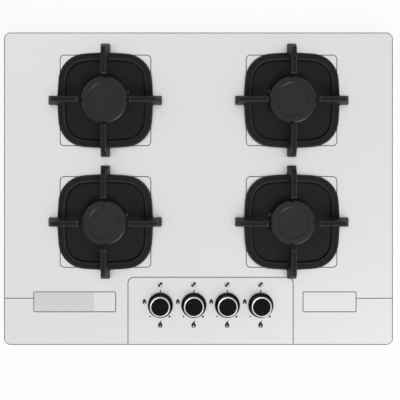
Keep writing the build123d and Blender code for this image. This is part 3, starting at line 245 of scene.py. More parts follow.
def rounded_box(half_across, half_up, rounding, steps):
    """Outline in metres of a rectangle round the middle, from sizes in millimetres."""
    quarters = ((-1, -1), (1, -1), (1, 1), (-1, 1))
    corners = [(half_across * side, half_up * end, rounding) for side, end in quarters]
    return rounded_outline(corners, steps)


def add_turned(work, outline, place, segments, axis="Z"):
    """Add a closed outline of (radius, height), turned about an axis through a place."""
    place = Vector(place)
    rows = []
    for radius, height in outline:
        row = []
        for step in range(segments):
            if radius < ON_AXIS and row:
                row.append(row[0])
                continue
            angle = 2 * pi * step / segments
            across, along = radius * cos(angle), radius * sin(angle)
            offset = (across, along, height) if axis == "Z" else (across, height, along)
            row.append(work.verts.new(place + Vector(offset)))
        rows.append(row)
    faces = []
    for row, next_row in zip(rows, rows[1:] + rows[:1]):
        for step in range(segments):
            after = (step + 1) % segments
            ring = [row[step], row[after], next_row[after], next_row[step]]
            corners = [vert for index, vert in enumerate(ring) if vert not in ring[:index]]
            if len(corners) > 2:
                faces.append(work.faces.new(corners))
    bmesh.ops.recalc_face_normals(work, faces=faces)
    return faces


def add_walls(work, loop, next_loop):
    """Add the faces between two loops of as many points."""
    faces = []
    for step in range(len(loop)):
        after = (step + 1) % len(loop)
        corners = (loop[step], loop[after], next_loop[after], next_loop[step])
        faces.append(work.faces.new(corners))
    return faces


def loop_at(work, outline, place, height):
    """Add the points of an outline in metres, round a place and at a height."""
    return [work.verts.new((place.x + x, place.y + y, height)) for x, y in outline]


def add_plate(work, outline, place, bottom, top):
    """Add a flat plate from an outline in metres round a place."""
    low = loop_at(work, outline, place, bottom)
    high = loop_at(work, outline, place, top)
    faces = [work.faces.new(low), work.faces.new(high), *add_walls(work, low, high)]
    bmesh.ops.recalc_face_normals(work, faces=faces)


def add_band(work, outer, inner, place, bottom, top):
    """Add a flat band between two outlines that have the same number of points."""
    corners = ((outer, bottom), (outer, top), (inner, top), (inner, bottom))
    loops = [loop_at(work, outline, place, height) for outline, height in corners]
    faces = []
    for loop, next_loop in zip(loops, loops[1:] + loops[:1]):
        faces += add_walls(work, loop, next_loop)
    bmesh.ops.recalc_face_normals(work, faces=faces)


def mesh_object(work, name):
    """Turn a finished bmesh into a linked object."""
    data = bpy.data.meshes.new(name)
    work.to_mesh(data)
    work.free()
    made = bpy.data.objects.new(name, data)
    bpy.context.scene.collection.objects.link(made)
    return made


def turned_object(name, outline, place):
    """Object of one closed outline, turned about the upright axis through a place."""
    work = bmesh.new()
    add_turned(work, outline, place, bpy.context.scene.cooktop_sizes.turned_segments)
    return mesh_object(work, name)


def points_object(name, places, axes=None, radii=None):
    """Object of loose points, with an axis or a radius stored on each."""
    data = bpy.data.meshes.new(name)
    data.from_pydata([tuple(place) for place in places], [], [])
    if axes is not None:
        stored = data.attributes.new("axis", "FLOAT_VECTOR", "POINT")
        stored.data.foreach_set("vector", [part for axis in axes for part in axis])
    if radii is not None:
        stored = data.attributes.new("radius", "FLOAT", "POINT")
        stored.data.foreach_set("value", radii)
    made = bpy.data.objects.new(name, data)
    bpy.context.scene.collection.objects.link(made)
    return made


def merged_mesh(node):
    """Copy of a CAD node's mesh in a bmesh, its loose triangles joined."""
    work = bmesh.new()
    work.from_mesh(nodes[node].data)
    bmesh.ops.remove_doubles(work, verts=work.verts, dist=SAME_POINT)
    return work


def copied_node(node, name):
    """Object with a merged copy of a CAD node's mesh."""
    return mesh_object(merged_mesh(node), name)


def islands(node):
    """Boxes of the separate solids in one CAD node."""
    work = merged_mesh(node)
    left = set(work.verts)
    boxes = []
    while left:
        found = {left.pop()}
        edge_of_search = list(found)
        while edge_of_search:
            vert = edge_of_search.pop()
            for edge in vert.link_edges:
                other = edge.other_vert(vert)
                if other in left:
                    left.discard(other)
                    found.add(other)
                    edge_of_search.append(other)
        low = Vector([min(vert.co[axis] for vert in found) for axis in range(3)])
        high = Vector([max(vert.co[axis] for vert in found) for axis in range(3)])
        boxes.append((low, high))
    work.free()
    return sorted(boxes, key=lambda box: tuple(round(value, 5) for value in box[0]))


def foot_point(node):
    """Point on the ground under the middle of a CAD node's box."""
    low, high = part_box(node)
    middle = (low + high) / 2
    return Vector((middle.x, middle.y, 0.0))


def radius_and_heights(node):
    """Half width, bottom and top of a CAD node's box, in millimetres."""
    low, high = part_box(node)
    return (high.x - low.x) / 2 / MM, low.z / MM, high.z / MM


def smooth_by_angle(made, angle):
    """Smooth shading that keeps edges sharper than the angle, in degrees."""
    made.data.shade_smooth()
    made.data.set_sharp_from_angle(angle=radians(angle))


def add_bevel(made, width, angle):
    """Round off the edges that are sharper than the angle, in degrees."""
    bevel = made.modifiers.new("Edges", "BEVEL")
    bevel.width = width
    bevel.segments = 2
    bevel.limit_method = "ANGLE"
    bevel.angle_limit = radians(angle)


def bake_modifiers(made):
    """Replace the mesh by what its modifiers make of it."""
    bpy.context.view_layer.update()
    seen = made.evaluated_get(bpy.context.evaluated_depsgraph_get())
    result = bpy.data.meshes.new_from_object(seen)
    made.modifiers.clear()
    result.name = made.name
    made.data = result


def soften(made, width, angle=35):
    """Bevel the sharp edges and keep the flat faces flat in shading."""
    if width:
        work = bmesh.new()
        work.from_mesh(made.data)
        bmesh.ops.dissolve_limit(
            work,
            angle_limit=radians(0.4),
            verts=work.verts,
            edges=work.edges,
            delimit={"MATERIAL"},
        )
        work.to_mesh(made.data)
        work.free()
        add_bevel(made, width, angle)
        weld = made.modifiers.new("Close points", "WELD")
        weld.merge_threshold = 0.003 * MM
    smooth_by_angle(made, angle)
    weighted = made.modifiers.new("Flat faces", "WEIGHTED_NORMAL")
    weighted.keep_sharp = True
    weighted.weight = 80
    bake_modifiers(made)


def place_on(made, body, slot, *stands_for):
    """Ride on a body and stand for CAD nodes; the finish slot is not used."""
    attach(made, body)
    if stands_for:
        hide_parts(*stands_for)


def stand_for(made, node, slot):
    """Take a CAD node's place on its body; the finish slot is not used."""
    place_on(made, nodes[node]["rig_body"], slot, node)


def use(made, *materials):
    """Give an object its materials in order, and keep which face has which."""
    indices = [face.material_index for face in made.data.polygons]
    made.data.materials.clear()
    for material in materials:
        made.data.materials.append(material)
    made.data.polygons.foreach_set("material_index", indices)


def finish_copy(node, suffix, slot, width, material):
    """Put a copy of a CAD node, finished and with softened edges, in the node's place."""
    piece = copied_node(node, node + suffix)
    use(piece, material)
    soften(piece, width)
    stand_for(piece, node, slot)


# ---------------------------------------------------------------- finishes


class NodeBuilder:
    """Adds nodes to one node tree."""

    def __init__(self, tree):
        self.tree = tree

    def node(self, kind, inputs=None, **settings):
        """Add a node, set its options, and set or link its inputs; a list is many links."""
        made = self.tree.nodes.new(kind)
        for option, value in settings.items():
            setattr(made, option, value)
        for socket, value in (inputs or {}).items():
            for source in value if isinstance(value, list) else [value]:
                if isinstance(source, bpy.types.NodeSocket):
                    self.tree.links.new(source, made.inputs[socket])
                else:
                    made.inputs[socket].default_value = source
        return made

    def out(self, kind, inputs=None, **settings):
        """First output of a new node."""
        return self.node(kind, inputs, **settings).outputs[0]

    def math(self, operation, first, second=0.0):
        """Result of a sum on numbers."""
        return self.out("ShaderNodeMath", {0: first, 1: second}, operation=operation)


class Finish(NodeBuilder):
    """A procedural material built round one Principled shader."""

    def __init__(self, name, colour, metallic=0.0, roughness=0.5, specular=0.5):
        self.material = bpy.data.materials.new(name)
        self.material.use_nodes = True
        super().__init__(self.material.node_tree)
        self.shader = self.tree.nodes["Principled BSDF"]
        self.colour = tuple(colour)
        self.shader.inputs["Base Color"].default_value = (*self.colour, 1.0)
        self.shader.inputs["Metallic"].default_value = metallic
        self.shader.inputs["Roughness"].default_value = roughness
        self.shader.inputs["Specular IOR Level"].default_value = specular
        self.material.diffuse_color = (*self.colour, 1.0)
        self.surface = self.node("ShaderNodeTexCoord").outputs["Object"]
        self.bump = None

    def grain(self, size, stretch=(1.0, 1.0, 1.0), detail=2.0, roughness=0.5):
        """Noise whose grains are about one size wide, longer along a stretched axis."""
        scale = tuple(1.0 / (size * factor) for factor in stretch)
        place = self.out("ShaderNodeMapping", {"Vector": self.surface, "Scale": scale})
        return self.out(
            "ShaderNodeTexNoise",
            {"Vector": place, "Scale": 1.0, "Detail": detail, "Roughness": roughness},
        )

    def cells(self, size, output=0):
        """Cell pattern: distance from each cell's middle, or a colour for each cell."""
        inputs = {"Vector": self.surface, "Scale": 1.0 / size}
        return self.node("ShaderNodeTexVoronoi", inputs).outputs[output]

    def remap(self, value, low, high, to_low, to_high):
        """Stretch a value from one range to another."""
        ranges = {"From Min": low, "From Max": high, "To Min": to_low, "To Max": to_high}
        return self.out("ShaderNodeMapRange", {"Value": value, **ranges})

    def edges(self, low, high):
        """Convex edges, where a painted highlight goes and where a coating wears first."""
        pointiness = self.node("ShaderNodeNewGeometry").outputs["Pointiness"]
        return self.remap(pointiness, low, high, 0.0, 1.0)

    def tint(self, pattern, dark=0.9, light=1.1, colour=None):
        """Vary the colour between a darker and a lighter shade, or towards another colour."""
        base = self.shader.inputs["Base Color"]
        lighter = colour or tuple(min(1.0, part * light) for part in self.colour)
        mix = self.node("ShaderNodeMix", {0: pattern, 7: (*lighter, 1.0)}, data_type="RGBA")
        if base.is_linked:
            self.tree.links.new(base.links[0].from_socket, mix.inputs[6])
        else:
            mix.inputs[6].default_value = (*[part * dark for part in self.colour], 1.0)
        self.tree.links.new(mix.outputs[2], base)

    def polish(self, pattern, low, high):
        """Vary the roughness."""
        roughness = self.remap(pattern, 0.3, 0.7, low, high)
        self.tree.links.new(roughness, self.shader.inputs["Roughness"])

    def relief(self, pattern, depth, strength):
        """Raise and sink the surface by a pattern."""
        inputs = {"Height": pattern, "Distance": depth, "Strength": strength}
        if self.bump is not None:
            inputs["Normal"] = self.bump
        self.bump = self.out("ShaderNodeBump", inputs)
        self.tree.links.new(self.bump, self.shader.inputs["Normal"])


def brushed_steel(name, colour):
    """Satin sheet with fine brushing along X and faint longer streaks."""
    finish = Finish(name, colour, metallic=1.0, roughness=0.42)
    hairlines = finish.grain(0.35 * MM, stretch=(260.0, 1.0, 1.0), detail=3.0)
    streaks = finish.grain(5.0 * MM, stretch=(40.0, 1.0, 1.0), detail=2.0)
    clouds = finish.grain(90.0 * MM, detail=1.0)
    finish.tint(finish.math("ADD", hairlines, streaks), dark=0.955, light=1.0)
    finish.polish(finish.math("MULTIPLY", streaks, clouds), 0.4, 0.5)
    finish.relief(hairlines, 0.015 * MM, 0.5)
    return finish.material


def painted_shade_steel(name, colour):
    """Darkened steel: painted shade in the feet of the pressed lines, and a painted dark reflection
    along the plate's rounded edge.
    """
    # Darkened to 0.04 of the steel's colour: painted shade, not a finish of its own
    shade = 0.04
    finish = Finish(name, [part * shade for part in colour], metallic=1.0, roughness=0.5)
    finish.tint(finish.grain(1.5 * MM), dark=0.9, light=1.1)
    finish.polish(finish.grain(0.6 * MM), 0.5, 0.62)
    return finish.material


def zinc_sheet(name):
    """Galvanised sheet with a faint spangle."""
    finish = Finish(name, (0.58, 0.59, 0.6), metallic=1.0, roughness=0.42)
    spangle = finish.cells(9.0 * MM, output=1)
    shade = finish.out("ShaderNodeSeparateColor", {"Color": spangle})
    finish.tint(shade, dark=0.93, light=1.06)
    finish.polish(shade, 0.36, 0.5)
    finish.relief(finish.grain(0.7 * MM), 0.01 * MM, 0.4)
    return finish.material


def cast_enamel(name, colour):
    """Black enamel over a sand casting, lighter and smoother on its convex edges: a painted
    highlight, partly wear.
    """
    finish = Finish(name, colour, roughness=0.46, specular=0.07)
    sand = finish.grain(0.9 * MM, detail=3.0, roughness=0.6)
    lumps = finish.grain(6.0 * MM, detail=2.0)
    edge_highlight_and_wear = 7.0
    finish.tint(lumps, dark=0.85, light=1.2)
    # Edges lightened sevenfold: painted highlight along the edges, partly wear of the enamel
    finish.tint(finish.edges(0.51, 0.57), colour=[part * edge_highlight_and_wear for part in colour])
    finish.polish(sand, 0.44, 0.62)
    finish.relief(sand, 0.06 * MM, 0.7)
    finish.relief(lumps, 0.12 * MM, 0.5)
    return finish.material


def smooth_enamel(name, colour, roughness, specular=0.06):
    """Vitreous enamel: even, with a slight orange-peel and fine specks."""
    finish = Finish(name, colour, roughness=roughness, specular=specular)
    peel = finish.grain(1.6 * MM, detail=2.0)
    specks = finish.remap(finish.cells(1.1 * MM), 0.0, 0.12, 1.0, 0.0)
    speck = 1.9
    finish.tint(finish.grain(14.0 * MM), dark=0.92, light=1.1)
    finish.tint(specks, colour=[part * speck for part in colour])
    finish.polish(peel, roughness - 0.05, roughness + 0.07)
    finish.relief(peel, 0.02 * MM, 0.6)
    return finish.material


def cast_aluminium(name, colour=(0.5, 0.5, 0.51)):
    """Die-cast aluminium, dulled and browned a little by heat."""
    finish = Finish(name, colour, metallic=1.0, roughness=0.46)
    patches = finish.grain(12.0 * MM, detail=3.0)
    finish.tint(patches, dark=0.86, light=1.08)
    finish.tint(finish.remap(patches, 0.55, 0.8, 0.0, 0.4), colour=(0.36, 0.33, 0.29))
    finish.polish(finish.grain(0.5 * MM), 0.4, 0.54)
    finish.relief(finish.grain(0.5 * MM, detail=3.0), 0.02 * MM, 0.5)
    return finish.material


def turned_metal(name, colour, roughness, ring=0.3):
    """Metal from a lathe or a drawing die, with fine scratches and light wear."""
    finish = Finish(name, colour, metallic=1.0, roughness=roughness)
    marks = finish.grain(ring * MM, stretch=(1.0, 1.0, 0.3), detail=3.0)
    finish.tint(finish.grain(8.0 * MM), dark=0.93, light=1.04)
    finish.polish(marks, roughness * 0.85, roughness * 1.2)
    finish.relief(marks, 0.006 * MM, 0.4)
    return finish.material


def moulded_plastic(name, colour, roughness, specular=0.5):
    """Injection-moulded plastic with a fine spark-eroded skin."""
    finish = Finish(name, colour, roughness=roughness, specular=specular)
    skin = finish.grain(0.25 * MM, detail=2.0)
    finish.tint(finish.grain(9.0 * MM), dark=0.93, light=1.08)
    finish.polish(skin, roughness - 0.05, roughness + 0.06)
    finish.relief(skin, 0.012 * MM, 0.5)
    return finish.material


def soft_rubber(name, colour, pores):
    """Matt rubber or closed-cell foam with small pores."""
    finish = Finish(name, colour, roughness=0.8, specular=0.3)
    skin = finish.cells(pores * MM)
    finish.tint(finish.grain(4.0 * MM), dark=0.85, light=1.15)
    finish.polish(finish.grain(pores * MM), 0.74, 0.88)
    finish.relief(skin, 0.05 * MM, 0.6)
    return finish.material


def glazed_ceramic(name):
    """Dark brown glaze of an insulator, sooted in patches."""
    finish = Finish(name, (0.035, 0.028, 0.024), roughness=0.22, specular=0.4)
    soot = finish.remap(finish.grain(2.0 * MM, detail=4.0), 0.5, 0.7, 0.0, 0.8)
    finish.tint(finish.grain(3.0 * MM), dark=0.85, light=1.2)
    finish.tint(soot, colour=(0.012, 0.011, 0.011))
    finish.polish(finish.grain(1.0 * MM), 0.16, 0.28)
    finish.relief(finish.grain(0.8 * MM), 0.008 * MM, 0.4)
    return finish.material


def printed_ink(name, colour):
    """Screen-printed ink, slightly uneven."""
    finish = Finish(name, colour, roughness=0.55, specular=0.3)
    finish.tint(finish.grain(0.6 * MM), dark=0.8, light=1.4)
    finish.polish(finish.grain(0.4 * MM), 0.5, 0.62)
    return finish.material


def burner_aluminium():
    """Cast finish that the burner heads and cups share, made once."""
    name = "die_cast_aluminium"
    return bpy.data.materials.get(name) or cast_aluminium(name)


def turned_brass():
    """Brass that the injectors, tap plugs and gas inlet share, made once."""
    name = "turned_brass"
    return bpy.data.materials.get(name) or turned_metal(name, (0.72, 0.54, 0.27), 0.3)


# ---------------------------------------------------------------- geometry node trees

LENGTH = "NodeSocketFloat"
COUNT = "NodeSocketInt"
MATERIAL = "NodeSocketMaterial"


class Tree(NodeBuilder):
    """A geometry node tree with named inputs, built step by step."""

    def __init__(self, name, inputs):
        super().__init__(bpy.data.node_groups.new(name, "GeometryNodeTree"))
        interface = self.tree.interface
        interface.new_socket("Geometry", in_out="INPUT", socket_type="NodeSocketGeometry")
        self.identifiers = {}
        for label, (kind, default) in inputs.items():
            socket = interface.new_socket(label, in_out="INPUT", socket_type=kind)
            if default is not None:
                socket.default_value = default
            self.identifiers[label] = socket.identifier
        interface.new_socket("Geometry", in_out="OUTPUT", socket_type="NodeSocketGeometry")
        self.group_input = self.node("NodeGroupInput")
        self.group_output = self.node("NodeGroupOutput")

    def given(self, label):
        """Socket of one of the tree's own inputs."""
        return self.group_input.outputs[label]

    def vector(self, x=0.0, y=0.0, z=0.0):
        """Vector from three numbers."""
        return self.out("ShaderNodeCombineXYZ", {"X": x, "Y": y, "Z": z})

    def vectors(self, operation, inputs):
        """Result of a sum on vectors."""
        return self.out("ShaderNodeVectorMath", inputs, operation=operation)

    def moved(self, geometry, offset):
        """Geometry moved by an offset."""
        inputs = {"Geometry": geometry, "Translation": offset}
        return self.out("GeometryNodeTransform", inputs)

    def on_points(self, points, instance, **inputs):
        """One instance on every point."""
        inputs.update({"Points": points, "Instance": instance})
        return self.out("GeometryNodeInstanceOnPoints", inputs)

    def welded(self, geometry):
        """Geometry with its close points merged."""
        inputs = {"Geometry": geometry, "Distance": 0.01 * MM}
        return self.out("GeometryNodeMergeByDistance", inputs)

    def joined(self, *geometries):
        """Several geometries in one."""
        return self.out("GeometryNodeJoinGeometry", {0: list(geometries)})

    def end(self, geometry):
        """Realize the instances, set the material and leave the tree."""
        real = self.out("GeometryNodeRealizeInstances", {"Geometry": geometry})
        inputs = {"Geometry": real, "Material": self.given("Material")}
        finished = self.out("GeometryNodeSetMaterial", inputs)
        self.tree.links.new(finished, self.group_output.inputs[0])

    def apply_to(self, made, values):
        """Put the tree on an object as a modifier and set its inputs by identifier."""
        modifier = made.modifiers.new(self.tree.name, "NODES")
        modifier.node_group = self.tree
        for label, value in values.items():
            modifier[self.identifiers[label]] = value


def port_ring_tree():
    """Teeth of a burner head round a ring; the flame ports are the gaps between them."""
    tree = Tree(
        "Flame port ring",
        {
            "Count": (COUNT, 36),
            "Rim Radius": (LENGTH, 0.0335),
            "Rim Wall": (LENGTH, 0.004),
            "Port Width": (LENGTH, 0.002),
            "Port Depth": (LENGTH, 0.0045),
            "Port Floor": (LENGTH, 0.0),
            "Centre X": (LENGTH, 0.0),
            "Centre Y": (LENGTH, 0.0),
            "Material": (MATERIAL, None),
        },
    )
    number, wall, depth = (tree.given(label) for label in ("Count", "Rim Wall", "Port Depth"))
    half_wall = tree.math("MULTIPLY", wall, 0.5)
    mid_radius = tree.math("SUBTRACT", tree.given("Rim Radius"), half_wall)
    pitch = tree.math("DIVIDE", tree.math("MULTIPLY", mid_radius, 2 * pi), number)
    tooth = tree.math("SUBTRACT", pitch, tree.given("Port Width"))
    block = tree.out("GeometryNodeMeshCube", {"Size": tree.vector(wall, tooth, depth)})
    # Ports have parallel sides, so each tooth widens outwards
    place = tree.node("ShaderNodeSeparateXYZ", {0: tree.out("GeometryNodeInputPosition")})
    turn = tree.math("DIVIDE", 2 * pi, number)
    widening = tree.math("MULTIPLY", tree.math("MULTIPLY", place.outputs[0], turn), 0.5)
    shift = tree.math("MULTIPLY", widening, tree.math("SIGN", place.outputs[1]))
    shaped = tree.out(
        "GeometryNodeSetPosition",
        {"Geometry": block, "Offset": tree.vector(0.0, shift, 0.0)},
    )
    ring = tree.out("GeometryNodeMeshCircle", {"Vertices": number, "Radius": mid_radius})
    facing = tree.out(
        "FunctionNodeAlignRotationToVector",
        {"Vector": tree.out("GeometryNodeInputPosition")},
        axis="X",
        pivot_axis="Z",
    )
    teeth = tree.on_points(ring, shaped, Rotation=facing)
    half_depth = tree.math("MULTIPLY", depth, 0.5)
    height = tree.math("ADD", tree.given("Port Floor"), half_depth)
    centre = tree.vector(tree.given("Centre X"), tree.given("Centre Y"), height)
    tree.end(tree.joined(tree.moved(teeth, centre), tree.given("Geometry")))
    return tree


def pan_head_tree():
    """Pan-head screws with a cross recess, one on every point, along its axis attribute."""
    tree = Tree(
        "Pan head screws",
        {
            "Head Radius": (LENGTH, 0.0035),
            "Head Height": (LENGTH, 0.0016),
            "Shank Radius": (LENGTH, 0.002),
            "Shank Length": (LENGTH, 0.007),
            "Recess Width": (LENGTH, 0.0009),
            "Recess Depth": (LENGTH, 0.0009),
            "Seed": (COUNT, 7),
            "Material": (MATERIAL, None),
        },
    )
    # Domed head: a ball squared off towards its rim and flat underneath
    squareness, dome = -0.45, 0.7
    ball = tree.out("GeometryNodeMeshUVSphere", {"Segments": 40, "Rings": 20, "Radius": 1.0})
    place = tree.out("GeometryNodeInputPosition")
    height = tree.node("ShaderNodeSeparateXYZ", {0: place}).outputs[2]
    flat = tree.vectors("MULTIPLY", {0: place, 1: (1.0, 1.0, 0.0)})
    reach = tree.node("ShaderNodeVectorMath", {0: flat}, operation="LENGTH").outputs["Value"]
    fuller = tree.math("POWER", tree.math("MAXIMUM", reach, 0.0001), squareness)
    spread = tree.vectors("SCALE", {0: flat, "Scale": fuller})
    sized = tree.vectors("SCALE", {0: spread, "Scale": tree.given("Head Radius")})
    rise = tree.math("POWER", tree.math("MAXIMUM", height, 0.0), dome)
    lifted = tree.vector(0.0, 0.0, tree.math("MULTIPLY", rise, tree.given("Head Height")))
    shape = tree.vectors("ADD", {0: sized, 1: lifted})
    head = tree.out("GeometryNodeSetPosition", {"Geometry": ball, "Position": shape})
    # Cross recess; one bar is a little shallower, so that the floors of the two don't coincide
    width = tree.given("Recess Width")
    slot_length = tree.math("MULTIPLY", width, 3.6)
    deep = tree.math("MULTIPLY", tree.given("Recess Depth"), 2.0)
    shallower = tree.math("MULTIPLY", deep, 0.97)
    bars = []
    for size in (
        tree.vector(slot_length, width, deep),
        tree.vector(width, slot_length, shallower),
    ):
        bar = tree.out("GeometryNodeMeshCube", {"Size": size})
        bars.append(tree.moved(bar, tree.vector(0.0, 0.0, tree.given("Head Height"))))
    cut = tree.out(
        "GeometryNodeMeshBoolean",
        {"Mesh 1": tree.welded(head), "Mesh 2": bars},
        operation="DIFFERENCE",
    )
    shank = tree.out(
        "GeometryNodeMeshCylinder",
        {
            "Vertices": 24,
            "Radius": tree.given("Shank Radius"),
            "Depth": tree.given("Shank Length"),
        },
    )
    half_length = tree.math("MULTIPLY", tree.given("Shank Length"), -0.5)
    lowered = tree.moved(shank, tree.vector(0.0, 0.0, half_length))
    screw = tree.joined(tree.welded(cut), lowered)
    axis = tree.out("GeometryNodeInputNamedAttribute", {"Name": "axis"}, data_type="FLOAT_VECTOR")
    facing = tree.out("FunctionNodeAlignRotationToVector", {"Vector": axis}, axis="Z")
    spin = tree.out(
        "FunctionNodeRandomValue",
        {"Min": (0.0, 0.0, 0.0), "Max": (0.0, 0.0, 1.57), "Seed": tree.given("Seed")},
        data_type="FLOAT_VECTOR",
    )
    turned = tree.out(
        "FunctionNodeRotateRotation",
        {"Rotation": facing, "Rotate By": spin},
        rotation_space="LOCAL",
    )
    tree.end(tree.on_points(tree.given("Geometry"), screw, Rotation=turned))
    return tree


def dot_tree():
    """Printed dots, one on every point, as wide as the point's radius attribute says."""
    tree = Tree(
        "Printed dots",
        {
            "Thickness": (LENGTH, 0.00005),
            "Material": (MATERIAL, None),
        },
    )
    disc = tree.out(
        "GeometryNodeMeshCylinder",
        {"Vertices": 28, "Radius": 1.0, "Depth": tree.given("Thickness")},
    )
    width = tree.out("GeometryNodeInputNamedAttribute", {"Name": "radius"}, data_type="FLOAT")
    size = tree.vector(width, width, 1.0)
    tree.end(tree.on_points(tree.given("Geometry"), disc, Scale=size))
    return tree


def thread_tree():
    """Thread ridges along +Y, as rings a pitch apart over a plain spigot."""
    tree = Tree(
        "Thread ridges",
        {
            "Count": (COUNT, 7),
            "Pitch": (LENGTH, 0.00181),
            "Crest Radius": (LENGTH, 0.01045),
            "Ridge Height": (LENGTH, 0.0011),
            "Start X": (LENGTH, 0.0),
            "Start Y": (LENGTH, 0.0),
            "Start Z": (LENGTH, 0.0),
            "Material": (MATERIAL, None),
        },
    )
    half_ridge = tree.math("MULTIPLY", tree.given("Ridge Height"), 0.62)
    core = tree.math("SUBTRACT", tree.given("Crest Radius"), half_ridge)
    path, ridge = (
        tree.out(
            "GeometryNodeCurvePrimitiveCircle",
            {"Resolution": points, "Radius": radius},
            mode="RADIUS",
        )
        for points, radius in ((64, core), (6, half_ridge))
    )
    ring = tree.out("GeometryNodeCurveToMesh", {"Curve": path, "Profile Curve": ridge})
    upright = tree.out(
        "GeometryNodeTransform",
        {"Geometry": ring, "Rotation": (pi / 2, 0.0, 0.0)},
    )
    start = tree.vector(tree.given("Start X"), tree.given("Start Y"), tree.given("Start Z"))
    step = tree.vector(0.0, tree.given("Pitch"), 0.0)
    line = tree.out(
        "GeometryNodeMeshLine",
        {"Count": tree.given("Count"), "Start Location": start, "Offset": step},
        mode="OFFSET",
    )
    tree.end(tree.joined(tree.on_points(line, upright), tree.given("Geometry")))
    return tree


# ---------------------------------------------------------------- operators: plate and tray


class CooktopOperator:
    """What every operator of this file has in common."""

    bl_options = {"REGISTER", "UNDO"}

    @property
    def sizes(self):
        return bpy.context.scene.cooktop_sizes

    @property
    def colours(self):
        return bpy.context.scene.cooktop_colours


class COOKTOP_OT_worktop_plate(CooktopOperator, bpy.types.Operator):
    """Brush the steel plate, and paint shade on the feet of its pressed lines and a dark reflection
    along its rounded edge
    """

    bl_idname = "cooktop.worktop_plate"
    bl_label = "Worktop plate"

    def execute(self, context):
        plate = copied_node("worktop_plate", "worktop_plate_brushed")
        use(
            plate,
            brushed_steel("brushed_stainless", self.colours.steel),
            painted_shade_steel("pressed_line_shade", self.colours.steel),
        )
        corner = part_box("worktop_plate")[1]
        border = 3.0 * MM
        shallowest, deepest = 0.1 * MM, 0.6 * MM
        nearly_flat, nearly_upright = 0.995, -0.1
        for face in plate.data.polygons:
            middle, slope = face.center, face.normal.z
            if abs(middle.x) > corner.x - border or abs(middle.y) > corner.y - border:
                # Only the rounded edge gets the painted dark reflection, not the flat border or the
                # rim
                face.material_index = 1 if 0.0 < slope < nearly_flat else 0
            # Feet of the pressed lines get the painted shade
            elif shallowest < PLATE_FACE - middle.z < deepest and slope > nearly_upright:
                face.material_index = 1
        soften(plate, 0.0, angle=28)
        stand_for(plate, "worktop_plate", "stainless_plate")
        return {"FINISHED"}


class COOKTOP_OT_badge_plate(CooktopOperator, bpy.types.Operator):
    """Finish the blank plate in the left pressed rectangle"""

    bl_idname = "cooktop.badge_plate"
    bl_label = "Badge plate"

    def execute(self, context):
        satin = brushed_steel("satin_badge", (0.62, 0.62, 0.625))
        finish_copy("badge_plate", "_satin", "badge_metal", 0.08 * MM, satin)
        return {"FINISHED"}


class COOKTOP_OT_tray(CooktopOperator, bpy.types.Operator):
    """Give the tray, its clamps and the foam strip their sheet and foam finishes"""

    bl_idname = "cooktop.tray"
    bl_label = "Tray, clamps and seal"

    def execute(self, context):
        zinc = zinc_sheet("galvanised_steel")
        foam = soft_rubber("seal_foam_grey", (0.05, 0.05, 0.052), pores=0.7)
        for node, slot, width, material in (
            ("bottom_tray", "galvanised_sheet", 0.0, zinc),
            ("fixing_brackets", "galvanised_sheet", 0.2 * MM, zinc),
            ("rim_seal", "seal_foam", 0.6 * MM, foam),
        ):
            finish_copy(node, "_finished", slot, width, material)
        return {"FINISHED"}


class COOKTOP_OT_screws(CooktopOperator, bpy.types.Operator):
    """Model every screw with a cross recess in its pan head"""

    bl_idname = "cooktop.screws"
    bl_label = "Screws"

    def execute(self, context):
        zinc = turned_metal("zinc_plated_steel", (0.62, 0.62, 0.64), 0.3)
        tree = pan_head_tree()
        head_height = 1.6 * MM
        short_of_tip = 0.02 * MM
        for node in ("tray_screws", "burner_screws", "tap_screws"):
            places, axes = [], []
            for low, high in islands(node):
                centre = (low + high) / 2
                upright = Vector((0.0, 0.0, 1.0))
                axis = self.outward(centre) if node == "tray_screws" else upright
                reach = abs((high - low).dot(axis)) / 2
                places.append(centre + axis * (reach - head_height))
                axes.append(axis)
            screws = points_object(node + "_cross_recess", places, axes=axes)
            values = {
                "Head Height": head_height,
                "Shank Length": 2 * reach - head_height - short_of_tip,
                "Recess Width": self.sizes.recess_width,
                "Recess Depth": self.sizes.recess_width,
                "Material": zinc,
            }
            tree.apply_to(screws, values)
            bake_modifiers(screws)
            smooth_by_angle(screws, 35)
            stand_for(screws, node, "screw_steel")
        return {"FINISHED"}

    @staticmethod
    def outward(place):
        """Direction out of the tray's wall nearest to a place."""
        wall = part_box("bottom_tray")[1]
        if abs(place.x) / wall.x > abs(place.y) / wall.y:
            return Vector((1.0 if place.x > 0 else -1.0, 0.0, 0.0))
        return Vector((0.0, 1.0 if place.y > 0 else -1.0, 0.0))


# ---------------------------------------------------------------- operators: burners


class COOKTOP_OT_drip_plates(CooktopOperator, bpy.types.Operator):
    """Enamel the four inner panels"""

    bl_idname = "cooktop.drip_plates"
    bl_label = "Drip plates"

    def execute(self, context):
        enamel = smooth_enamel("satin_black_enamel", self.colours.enamel, roughness=0.45)
        finish_copy("drip_plates", "_enamelled", "black_enamel", 0.0, enamel)
        return {"FINISHED"}


class COOKTOP_OT_pan_supports(CooktopOperator, bpy.types.Operator):
    """Round the cast pan supports off like castings, ring and arms in one"""

    bl_idname = "cooktop.pan_supports"
    bl_label = "Pan supports"

    def execute(self, context):
        enamel = cast_enamel("cast_black_enamel", self.colours.casting)
        for burner in BURNERS:
            node = f"pan_support_{burner}"
            support = copied_node(node, node + "_cast")
            remesh = support.modifiers.new("Casting", "REMESH")
            remesh.mode = "VOXEL"
            remesh.voxel_size = self.sizes.casting_grain
            remesh.use_smooth_shade = True
            smooth = support.modifiers.new("Softness", "SMOOTH")
            smooth.factor = 0.5
            smooth.iterations = self.sizes.casting_softness
            bake_modifiers(support)
            support.data.shade_smooth()
            use(support, enamel)
            stand_for(support, node, "cast_iron_black")
        return {"FINISHED"}


